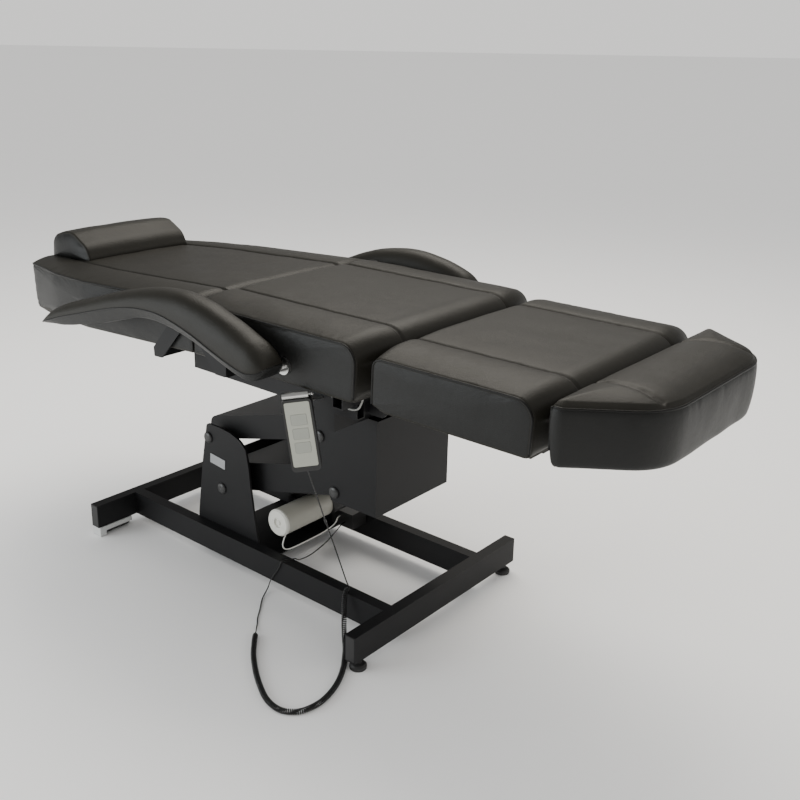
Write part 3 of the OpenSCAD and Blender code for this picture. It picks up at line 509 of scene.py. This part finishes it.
lead_line = smooth_route(metres(LEAD_ROUTE), 6 * MM)
lead_down = (lead_line[-1] - lead_line[-2]).normalized()
joiner = turned_sleeve("lead_joiner", lead_line[-1] - lead_down * 9 * MM, lead_down,
                       [(0, 1.7), (0.6, 2.2), (4, 2.5), (5, 3.0), (13, 3.0), (14, 2.5),
                        (17.4, 2.2), (18, 1.7)], finishes["cord_black"])
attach(joiner, "upper_arm")


# %% [markdown]
# ## Making the cords
# Every cord is a tube swept along its route.

# %% Make the cords
lead = tube("handset_lead_cord", lead_line, WIRE_R, finishes["cord_black"])
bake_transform(lead)
line_length(lead_line)
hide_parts("handset_lead")

drop_line = smooth_route(metres(DROP_ROUTE), 6 * MM)
coil_middle = smooth_route(metres(COIL_ROUTE), 3 * MM)
coil_line = helix(coil_middle, COIL_R, COIL_PITCH)
tail_line = smooth_route(metres(TAIL_ROUTE), 6 * MM)
whole = drop_line[:-1] + coil_line + tail_line[1:]
cord = tube("handset_curly_cord", whole, WIRE_R, finishes["cord_black"], sides=6)
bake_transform(cord)
line_length(whole)
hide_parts("handset_coil", "handset_tail")
print("handset cord", round(line_length(lead_line) + line_length(whole), 2), "m of wire")

for name, route, radius, finish, body, node in (
        ("motor_wire_lead", MOTOR_WIRE_ROUTE, 1.75, "wire_white", "base", "motor_wire"),
        ("seat_cable_loop", SEAT_CABLE_ROUTE, 2.25, "cable_grey", "carriage",
         "seat_cable")):
    line = smooth_route(metres(route), 5 * MM)
    wire = tube(name, line, radius * MM, finishes[finish])
    if node == "motor_wire":
        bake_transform(wire)
    else:
        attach(wire, body)
    line_length(line)
    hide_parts(node)


# %% [markdown]
# ## Wrapped cushions
# The seat, the leg rest, the backrest and the pillow are foam under a cover whose top
# skin wraps down over both ends, between two flat side panels. A cloth simulation could
# puff them, but the seams would blur, so the skin is swept from the side outline and
# every point is pushed out or in: a crown across the width, a sunk middle panel between
# two seams, fuller bolsters outside them, and small puckers beside the stitching.

# %% Wrapped cushion helper
def fillet(corners, radii, step=5):
    """A closed outline with rounded corners and a point about every step, in mm."""
    count, line = len(corners), []
    for i, radius in enumerate(radii):
        a, b, c = (Vector(corners[(i + j) % count]) for j in (-1, 0, 1))
        u, v = (a - b).normalized(), (c - b).normalized()
        half = u.angle(v) / 2
        cut = radius / math.tan(half)
        middle = b + (u + v).normalized() * radius / math.sin(half)
        p, q = b + u * cut, b + v * cut
        start, end = (math.atan2(e.y - middle.y, e.x - middle.x) for e in (p, q))
        turn = (end - start + 3 * math.pi) % (2 * math.pi) - math.pi
        bits = max(3, round(abs(turn) * radius / step))
        line += [middle + radius * Vector((math.cos(start + turn * k / bits),
                                           math.sin(start + turn * k / bits)))
                 for k in range(bits + 1)]
    even = []
    for i, p in enumerate(line):
        q = line[(i + 1) % len(line)]
        bits = max(1, round((q - p).length / step))
        even += [p.lerp(q, k / bits) for k in range(bits)]
    return even


def side_normals(outline):
    """The outward direction at each point of a clockwise or anticlockwise outline."""
    area = sum(p.x * q.y - q.x * p.y for p, q in zip(outline, outline[1:] + outline[:1]))
    sign = 1 if area > 0 else -1
    return [sign * Vector((q.y - p.y, p.x - q.x)).normalized()
            for p, q in zip(outline[-1:] + outline[:-1], outline[1:] + outline[:1])]


def hill(distance, width):
    return math.exp(-(distance / width) ** 2)


EDGE_R = 6.0
SEAM_DEPTH, SEAM_WIDTH = 5.0, 4.5
SLOPE_DEPTH, SLOPE_WIDTH = 1.5, 14
SEAM_PUCKER, EDGE_PUCKER = 13, 16
CAP_SHARES = (0.97, 0.93, 0.87, 0.79, 0.69, 0.57, 0.44, 0.3, 0.16)


def wrapped_cushion(name, corners, radii, half_width, crown, seam, sunk, bolster, turn=None,
                    centre=0.0, side_bulge=4.0, pucker=0.7, seed=0.0, front=0.0, power=3.4):
    """Corners are (x, z) in mm; half_width gives the half width at an x; seam is the
    share of the half width where the panel's seam runs, or None; front is how far the
    foot end's face stands out between its pipings."""
    outline = fillet(corners, radii)
    normals = side_normals(outline)
    widest = max(half_width(p.x) for p in outline)
    steps = {round(k / 40, 4) for k in range(-40, 41)}
    for e in (0.5, 1.5, 3, 5):
        steps |= {1 - e / widest, e / widest - 1}
    if seam:
        for e in (0, 2, 4.5, 8, 12):
            for s in (-1, 1):
                steps |= {s * seam + e / widest, s * seam - e / widest}
    columns = sorted(steps)
    points = []
    for v in columns:
        inset_at = (1 - abs(v)) * widest
        inset = EDGE_R - math.sqrt(max(0, EDGE_R ** 2 - max(0, EDGE_R - inset_at) ** 2))
        for p, n in zip(outline, normals):
            half = half_width(p.x)
            y = v * half
            skin = min(1, max(0, (n.y + 0.25) / 1.25))
            rise = crown * (1 - abs(v) ** power)
            rise += front * (1 - abs(v) ** 3) * max(0, n.x) ** 1.5 / max(skin, 0.25)
            if seam:
                away = (abs(v) - seam) * half
                rise -= SEAM_DEPTH * hill(away, SEAM_WIDTH)
                rise -= SLOPE_DEPTH * hill(away, SLOPE_WIDTH)
                if away > 0:
                    rise += bolster * math.sin(math.pi * min(1, away / ((1 - seam) * half)))
                else:
                    rise -= sunk * min(1, -away / SLOPE_WIDTH)
                rise += pucker * hill(away, 16) * noise.noise(
                    Vector((p.x / SEAM_PUCKER, p.y / SEAM_PUCKER, seed + (v > 0))))
            edge = (1 - abs(v)) * half
            rise += pucker * 1.3 * hill(edge, 22) * noise.noise(
                Vector((p.x / EDGE_PUCKER, p.y / EDGE_PUCKER, seed + 5 + (v > 0))))
            rise += 1.1 * noise.noise(Vector((p.x / 75, y / 75, seed + 9)))
            out = p + n * (skin * rise - inset)
            points.append(Vector((out.x, centre + y, out.y)))
    count = len(outline)
    faces = ring_faces(len(columns), count)
    finish = [0] * len(faces)
    middle = sum(outline, Vector((0, 0))) / count
    for sign, first in ((-1, 0), (1, (len(columns) - 1) * count)):
        base = [first + k for k in range(count)]
        edge_points = [points[i] for i in base]
        for share in CAP_SHARES:
            start = len(points)
            for p in edge_points:
                x = middle.x + (p.x - middle.x) * share
                z = middle.y + (p.z - middle.y) * share
                swell = side_bulge * (1 - share ** 3)
                swell += 1.2 * pucker * hill(1 - share, 0.13) * noise.noise(
                    Vector((p.x / 15, p.z / 15, seed + sign)))
                swell += 1.4 * noise.noise(Vector((x / 60, z / 60, seed + 3 * sign)))
                points.append(Vector((x, centre + sign * (half_width(x) + swell), z)))
            ring = [start + k for k in range(count)]
            for k in range(count):
                j = (k + 1) % count
                quad = (base[k], ring[k], ring[j], base[j])
                faces.append(quad if sign > 0 else tuple(reversed(quad)))
                finish.append(1)
            base = ring
        hub = len(points)
        points.append(sum((points[i] for i in base), Vector()) / count)
        for k in range(count):
            fan = (base[k], hub, base[(k + 1) % count])
            faces.append(fan if sign > 0 else tuple(reversed(fan)))
            finish.append(1)
    area = sum(p.x * q.y - q.x * p.y for p, q in zip(outline, outline[1:] + outline[:1]))
    if area > 0:
        faces = [tuple(reversed(f)) for f in faces]
    points = [turned(p, turn) * MM for p in points]
    # The wrapped skin gets the painted-light top copy of the leather, and the flat side panels get
    # the painted-shade side copy.
    piece = mesh_piece(name, points, faces, [leather_painted_lit, leather_painted_shade], finish)
    return piece, outline, normals


def turned(point, turn):
    """A point in mm, turned about an axis along Y: (x, z, degrees), head end down."""
    if not turn:
        return point
    x, z, degrees = turn
    c, s = math.cos(math.radians(degrees)), math.sin(math.radians(degrees))
    dx, dz = point.x - x, point.z - z
    return Vector((x + dx * c - dz * s, point.y, z + dx * s + dz * c))


def declare_pad(piece, body, *nodes, fill=0.8):
    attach(piece, body)
    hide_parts(*nodes)
    print(piece.name, len(piece.data.polygons), "faces")


PIPING_R = 2.6


def piping(name, line, body, radius=PIPING_R):
    """A round welt sewn into a seam."""
    piece = tube(name, [p * MM for p in line], radius * MM, leather_piping, sides=8)
    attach(piece, body)
    return piece


def side_piping(name, outline, normals, half_width, body, is_piped, order, turn=None):
    """Welts on both sides, along the points of the outline that is_piped picks, joined
    in the order given; the outline's lower side stays without."""
    chosen = [(p, n) for p, n in zip(outline, normals) if is_piped(p, n)]
    chosen.sort(key=order)
    for tag, sign in (("right", -1), ("left", 1)):
        line = []
        for p, n in chosen:
            at = p - n * 2.2
            line.append(turned(Vector((at.x, sign * (half_width(p.x) - 1.2), at.y)), turn))
        piping(f"{name}_{tag}", line, body)


def stitch_rows(name, rows, body, length=4.2, gap=2.6, turn=None):
    """Rows of short raised threads. Each row is a list of (point, up) in mm."""
    points, faces = [], []
    for row in rows:
        run, next_at = 0.0, 0.0
        for (p, n), (q, _) in zip(row, row[1:]):
            span = (q - p).length
            while next_at < run + span:
                t = (next_at - run) / max(span, 1e-6)
                at = p.lerp(q, t)
                ahead = (q - p).normalized()
                side = ahead.cross(n).normalized()
                first = len(points)
                for along, lift, half in ((0, -0.3, 0.25), (0.25, 0.45, 0.45),
                                          (0.75, 0.45, 0.45), (1, -0.3, 0.25)):
                    centre = at + ahead * (along * length) + n * lift
                    points += [centre - side * half, centre + side * half,
                               centre + side * half - n * 0.6,
                               centre - side * half - n * 0.6]
                for r in range(3):
                    for k in range(4):
                        a, b = first + r * 4 + k, first + r * 4 + (k + 1) % 4
                        faces.append((a, b, b + 4, a + 4))
                faces.append(tuple(first + k for k in reversed(range(4))))
                faces.append(tuple(first + 12 + k for k in range(4)))
                next_at += length + gap
            run += span
    piece = mesh_piece(name, [turned(p, turn) * MM for p in points], faces,
                       [leather_piping])
    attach(piece, body)
    return piece


STITCH_OFFSET = 7.0


def panel_stitches(name, piece, seam, half_width, body, outline_and_normals, turn=None):
    """Two rows of thread beside each panel seam, laid on the finished skin."""
    rows = []
    for sign in (-1, 1):
        for shift in (STITCH_OFFSET, -STITCH_OFFSET):
            row = []
            for p, n in zip(*outline_and_normals):
                if n.y < 0.0:
                    continue
                y = sign * (seam * half_width(p.x) + shift)
                row.append((p, n, y))
            rows.append(row)
    placed = []
    inverse = None if not turn else (turn[0], turn[1], -turn[2])
    vertices = [turned(v.co / MM, inverse) for v in piece.data.vertices]
    tree = KDTree(len(vertices))
    for i, v in enumerate(vertices):
        tree.insert(v, i)
    tree.balance()
    for row in rows:
        row.sort(key=lambda item: item[0].x + (item[0].y * -1e-3))
        line = []
        for p, n, y in row:
            up_dir = Vector((n.x, 0, n.y))
            near = tree.find(Vector((p.x, y, p.y)) + up_dir * 6)[0]
            lift = (near - Vector((p.x, y, p.y))).dot(up_dir)
            line.append((Vector((p.x, y, p.y)) + up_dir * lift, up_dir))
        placed.append(line)
    return stitch_rows(name, placed, body, turn=turn)


# %% [markdown]
# ## Seat
# The seat's front edge falls over in a wide round, its side panels are flat and piped.

# %% Seat
BASE_X, FLOOR_GAP = -143, 28
seat_lo, seat_hi = (Vector(c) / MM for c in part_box("seat_cushion"))
PAD_HALF = 316


def full_width(x):
    return PAD_HALF


seat_corners = [(seat_lo.x, seat_lo.z - 11), (seat_lo.x + 3, seat_hi.z), (seat_hi.x + 1, seat_hi.z),
                (seat_hi.x - 4, seat_lo.z - 11)]
seat, seat_line, seat_normals = wrapped_cushion(
    "seat_pad", seat_corners, [6, 26, 40, 16], full_width, 20, 0.6, 1.5, 5, seed=1.0,
    front=30)
declare_pad(seat, "carriage", "seat_cushion")


def on_top_and_front(p, n):
    return n.y > 0.35 or (n.x > 0.2 and n.y > -0.6)


side_piping("seat_piping", seat_line, seat_normals, full_width, "carriage",
            on_top_and_front, lambda item: item[0].x - item[0].y)
panel_stitches("seat_stitches", seat, 0.6, full_width, "carriage",
               (seat_line, seat_normals))


# %% [markdown]
# ## Leg rest
# The leg rest is the same make, a little thinner, and tucks under the seat's front.

# %% Leg rest
leg_lo, leg_hi = (Vector(c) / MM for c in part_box("leg_cushion"))
leg_corners = [(leg_lo.x, leg_lo.z + 1), (leg_lo.x + 3, leg_hi.z), (leg_hi.x + 1, leg_hi.z),
               (leg_hi.x - 3, leg_lo.z - 11), (leg_lo.x + 34, leg_lo.z - 11)]
leg, leg_line, leg_normals = wrapped_cushion(
    "leg_pad", leg_corners, [6, 22, 40, 14, 20], full_width, 20, 0.6, 1.5, 5, seed=12.0,
    front=28)
declare_pad(leg, "legrest", "leg_cushion")
side_piping("leg_piping", leg_line, leg_normals, full_width, "legrest",
            lambda p, n: n.y > 0.3 or abs(n.x) > 0.2 and n.y > -0.6,
            lambda item: math.atan2(item[0].y - leg_lo.z + 40,
                                    (leg_lo.x + leg_hi.x) / 2 - item[0].x))
panel_stitches("leg_stitches", leg, 0.6, full_width, "legrest", (leg_line, leg_normals))


# %% [markdown]
# ## Backrest
# The backrest narrows towards the head in a long curve. It is drawn level and turned
# down by its small droop about the hinge.

# %% Backrest
HINGE = (-158, 752)
DROOP = 3.0
BACK_X1 = -160
BACK_X0 = BACK_X1 - 818
PAD_Z0, PAD_Z1 = 641, 765


def back_half(x):
    """Half width of the backrest at an x: full width, then a long taper, then round
    corners at the head end."""
    knots = [(BACK_X1, 316), (-593, 316), (-653, 309), (-758, 294), (-843, 270),
             (-915, 252), (BACK_X0, 236)]
    x = min(BACK_X1, max(BACK_X0, x))
    for (xa, wa), (xb, wb) in zip(knots, knots[1:]):
        if x >= xb:
            width = wb + (wa - wb) * (x - xb) / (xa - xb)
            break
    reach = x - BACK_X0
    if reach < 30:
        width -= 30 - math.sqrt(30 ** 2 - (30 - reach) ** 2)
    return width


droop = (*HINGE, DROOP)
back_corners = [(BACK_X0, PAD_Z0), (BACK_X0, PAD_Z1), (BACK_X1, PAD_Z1), (BACK_X1, PAD_Z0)]
back_pad, back_line, back_normals = wrapped_cushion(
    "back_pad", back_corners, [40, 22, 28, 8], back_half, 13, 0.62, 1.2, 4, turn=droop,
    seed=23.0)
declare_pad(back_pad, "backrest", "back_cushion")
side_piping("back_piping", back_line, back_normals, back_half, "backrest",
            lambda p, n: n.y > 0.3 or abs(n.x) > 0.2 and n.y > -0.2,
            lambda item: math.atan2(item[0].y - PAD_Z0 + 40, -item[0].x
                                    + (BACK_X0 + BACK_X1) / 2), turn=droop)
panel_stitches("back_stitches", back_pad, 0.62, back_half, "backrest",
               (back_line, back_normals), turn=droop)


# %% [markdown]
# ## Pillow
# A half-round bolster with a plain panel at each end, sewn with one turned seam.

# %% Pillow
PILLOW_X0, PILLOW_L, PILLOW_H = BACK_X0 + 3, 194, 82
pillow_z = PAD_Z1 + 1


def pillow_half(x):
    return 172


pillow_corners = [(PILLOW_X0, pillow_z), (PILLOW_X0 + 12, pillow_z + 66),
                  (PILLOW_X0 + 70, pillow_z + PILLOW_H),
                  (PILLOW_X0 + PILLOW_L - 82, pillow_z + PILLOW_H),
                  (PILLOW_X0 + PILLOW_L - 20, pillow_z + 46),
                  (PILLOW_X0 + PILLOW_L, pillow_z)]
pillow, _, _ = wrapped_cushion(
    "head_bolster", pillow_corners, [8, 40, 50, 50, 50, 10], pillow_half, 4, None, 0, 0,
    turn=droop, centre=8.5, side_bulge=10, seed=31.0)
declare_pad(pillow, "pillow", "pillow", fill=0.9)


# %% [markdown]
# ## Footrest
# The footrest has a band of leather round its sides and its front, a piped top edge
# and an inset panel, so it is built as rings from the bottom up and in to the middle.

# %% Footrest
foot_lo, foot_hi = (Vector(c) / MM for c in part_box("footrest_cushion"))
FOOT_FRONT = 205
foot_corners = [(foot_lo.x, -316), (foot_lo.x + 22, -316), (foot_hi.x, -FOOT_FRONT),
                (foot_hi.x, FOOT_FRONT), (foot_lo.x + 22, 316), (foot_lo.x, 316)]
foot_line = fillet(foot_corners, [8, 20, 125, 125, 20, 8], 6)
foot_normals = side_normals(foot_line)
foot_middle = Vector(((foot_lo.x + foot_hi.x) / 2, 0))
FOOT_TOP = foot_hi.z + 1
PANEL_SEAMS = [((foot_hi.x - 10, -197), (foot_lo.x, -174)),
               ((foot_hi.x - 10, 197), (foot_lo.x, 174))]
ROUND_OVER = 82


def to_segment(p, a, b):
    a, b = Vector(a), Vector(b)
    t = max(0, min(1, (p - a).dot(b - a) / (b - a).length_squared))
    return (p - a - t * (b - a)).length


def foot_top(p):
    """How far the top stands over its piping: it rounds over from every edge."""
    edge = min(to_segment(p, a, b) for a, b in zip(foot_line, foot_line[1:] + foot_line[:1]))
    seam = min(to_segment(p, *ends) for ends in PANEL_SEAMS)
    rise = 19 * (1 - (1 - min(1, edge / ROUND_OVER)) ** 2.3)
    rise -= (4.2 * hill(seam, 4.5) + 1.2 * hill(seam, 14)) * min(1, edge / 12)
    rise += 0.8 * hill(seam, 16) * noise.noise(Vector((p.x / 13, p.y / 13, 41)))
    rise += 1.0 * noise.noise(Vector((p.x / 70, p.y / 70, 47)))
    return rise


points, count = [], len(foot_line)
FOOT_LOW = foot_lo.z - 13
levels = [(0, 12), (3, 7.5), (8, 4.5), (15, 3), (26, 1.5), (38, 0), (52, -1.5), (66, -2.6),
          (80, -3), (92, -2.8), (101, -2), (107, -1), (112, 1), (116, 3), (118, 5.5)]
for height, inset in levels:
    for p, n in zip(foot_line, foot_normals):
        fold = 1.4 * hill(height - 105, 12) * noise.noise(Vector((p.x / 14, p.y / 14, 3)))
        q = p - n * (inset + fold + 1.2 * noise.noise(Vector((p.x / 60, p.y / 60,
                                                               height / 60))))
        points.append(Vector((q.x, q.y, FOOT_LOW + height)))
shares = [1 - k / 52 for k in range(1, 52)]
for share in shares:
    for p, n in zip(foot_line, foot_normals):
        q = foot_middle + (p - n * 5.5 - foot_middle) * share
        points.append(Vector((q.x, q.y, FOOT_TOP + foot_top(q))))
faces = ring_faces(len(levels) + len(shares), count)
# The side band and the bottom get the painted-shade copy of the leather, and the top gets the
# painted-light copy.
finish = [1 if i < (len(levels) - 3) * count else 0 for i in range(len(faces))]
last = (len(levels) + len(shares) - 1) * count
faces.append(tuple(reversed([last + k for k in range(count)])))
faces.append(tuple(range(count)))
finish += [0, 1]
foot_area = sum(p.x * q.y - q.x * p.y
                for p, q in zip(foot_line, foot_line[1:] + foot_line[:1]))
if foot_area > 0:
    faces = [tuple(reversed(f)) for f in faces]
foot = mesh_piece("foot_pad", [p * MM for p in points], faces, [leather_painted_lit, leather_painted_shade],
                  finish)
declare_pad(foot, "footrest", "footrest_cushion")

ordered = [(p, n) for p, n in zip(foot_line, foot_normals) if n.x > -0.5]
ordered.sort(key=lambda item: math.atan2(item[0].y, item[0].x - foot_lo.x + 60))
RIM_INSET, RIM_Z = 1.4, FOOT_TOP - 6
CORNER_INSET, CORNER_Y = 1.5, 313.5
CORNER_STEP, CORNER_STEPS = 8, 10
rim = [Vector((p.x - n.x * RIM_INSET, p.y - n.y * RIM_INSET, RIM_Z)) for p, n in ordered]
down = [Vector((foot_lo.x + CORNER_INSET, 0, RIM_Z - k * CORNER_STEP))
        for k in range(CORNER_STEPS + 1)]
for tag, sign in (("right", -1), ("left", 1)):
    leg_of_rim = [Vector((p.x, sign * CORNER_Y, p.z)) for p in down]
    piping(f"foot_piping_{tag}", leg_of_rim, "footrest")
piping("foot_piping_rim", rim, "footrest")


# %% [markdown]
# ## Armrests
# Each armrest is one long padded arm over a steel core: highest over the elbow, thin at
# its tail. Its outer lower edge is piped. Sections across it are joined along its
# length. The left one's padding has settled a little differently, as hand-made ones do.

# %% Armrests
# Outlines of the padding as (x, z) in millimetres: its ridge, its piping and its lower
# edge, then the left armrest's own ridge.
RIDGE = [(-520, 617), (-459, 656), (-388, 684), (-299, 710), (-214, 737), (-133, 758),
         (-57, 774), (-3, 779), (50, 780), (117, 770), (156, 759), (213, 741), (259, 722),
         (305, 703), (331, 687)]
WELT = [(-520, 612), (-461, 629), (-413, 645), (-322, 671), (-194, 707), (-115, 723),
        (-40, 729), (14, 725), (99, 705), (181, 677), (259, 655), (305, 652), (331, 660)]
LOW = [(-520, 606), (-460, 618), (-405, 624), (-316, 643), (-251, 658), (-168, 682),
       (-89, 703), (-29, 706), (21, 702), (90, 688), (139, 674), (235, 642), (300, 634),
       (331, 652)]
FAR_RIDGE = [(-520, 600), (-440, 629), (-350, 656), (-260, 683), (-166, 712), (-88, 742),
             (-32, 759), (40, 772), (111, 774), (180, 765), (247, 748), (300, 722),
             (331, 695)]
ARM_IN, ARM_OUT = 327.2, 414.5
TAIL_X, NOSE_X = -514, 318


def along(curve, x):
    """Height of a curve of knots at an x, eased between the knots."""
    if x <= curve[0][0]:
        return curve[0][1]
    for i in range(len(curve) - 1):
        (xa, za), (xb, zb) = curve[i], curve[i + 1]
        if x <= xb:
            before = curve[i - 1] if i else curve[i]
            after = curve[i + 2] if i + 2 < len(curve) else curve[i + 1]
            slope_a = (zb - before[1]) / max(1, xb - before[0])
            slope_b = (after[1] - za) / max(1, after[0] - xa)
            h = xb - xa
            t = (x - xa) / h
            return ((2 * t ** 3 - 3 * t ** 2 + 1) * za + (t ** 3 - 2 * t ** 2 + t) * h * slope_a
                    + (3 * t ** 2 - 2 * t ** 3) * zb + (t ** 3 - t ** 2) * h * slope_b)
    return curve[-1][1]


def armrest(name, sign, body, node):
    stations = [TAIL_X + (NOSE_X - TAIL_X) * (1 - math.cos(math.pi * k / 130)) / 2
                for k in range(131)]
    points, welt_line = [], []
    arc, side_steps = 26, 6
    for x in stations:
        ridge, welt, low = along(RIDGE, x), along(WELT, x), along(LOW, x)
        if sign > 0:
            settled = along(FAR_RIDGE, x) - ridge
            hold = min(1, max(0, (250 - x) / 200))
            ridge, welt, low = ridge + settled, welt + settled * hold, low + settled * hold
        to_nose, to_tail = min(1, (NOSE_X - x) / 50), min(1, (x - TAIL_X) / 60)
        nose = math.sqrt(max(0, to_nose * (2 - to_nose)))
        tail = math.sqrt(max(0, to_tail * (2 - to_tail)))
        fat = max(0.03, nose * tail)
        mid_z = (ridge + low) / 2 if x > 0 else (welt + low) / 2
        ridge, welt, low = (mid_z + (h - mid_z) * fat for h in (ridge, welt, low))
        half = (ARM_OUT - ARM_IN) / 2 * (0.55 + 0.45 * fat)
        middle = (ARM_OUT + ARM_IN) / 2
        section = []
        for k in range(arc + 1):
            angle = math.pi * k / arc
            c, s = math.cos(angle), math.sin(angle)
            y = middle + half * (1 if c > 0 else -1) * abs(c) ** 0.8
            z = welt + (ridge - welt) * abs(s) ** 0.8
            section.append((y, z))
        inner_y, outer_y = middle - half, middle + half
        for k in range(1, side_steps + 1):
            t = k / side_steps
            section.append((inner_y + 8 * t * fat, welt + (low - welt) * t))
        for k in range(1, 8):
            t = k / 8
            section.append((inner_y + 8 * fat + (outer_y - 10 * fat - inner_y - 8 * fat) * t,
                            low - 2.5 * math.sin(math.pi * t) * fat))
        for k in range(side_steps):
            t = k / side_steps
            section.append((outer_y - 10 * fat * (1 - t), low + (welt - low) * t))
        for y, z in section:
            ripple = 0.9 * noise.noise(Vector((x / 55, y / 40, z / 50 + sign)))
            points.append(Vector((x + BASE_X, sign * (y + ripple * 0.4), z + FLOOR_GAP
                                  + ripple)))
        welt_line.append(Vector((x + BASE_X, sign * (outer_y - 0.6), welt + FLOOR_GAP - 0.5)))
    count = len(section)
    faces = ring_faces(len(stations), count)
    # The top arc gets the painted-light copy of the leather, and the sides and underside get the
    # painted-shade copy.
    finish = []
    for i in range(len(faces)):
        finish.append(0 if i % count <= arc else 1)
    last = (len(stations) - 1) * count
    faces.append(tuple(range(count))[::-1])
    faces.append(tuple(last + k for k in range(count)))
    finish += [1, 1]
    if sign > 0:
        faces = [tuple(reversed(f)) for f in faces]
    faces = [tuple(reversed(f)) for f in faces]
    pad = mesh_piece(name, [p * MM for p in points], faces, [leather_painted_lit, leather_painted_shade],
                     finish)
    declare_pad(pad, body, node)
    piping(name + "_piping", welt_line[4:-4], body, 2.2)
    return pad


armrest("right_arm_pad", -1, "right_armrest", "right_armrest")
armrest("left_arm_pad", 1, "left_armrest", "left_armrest")
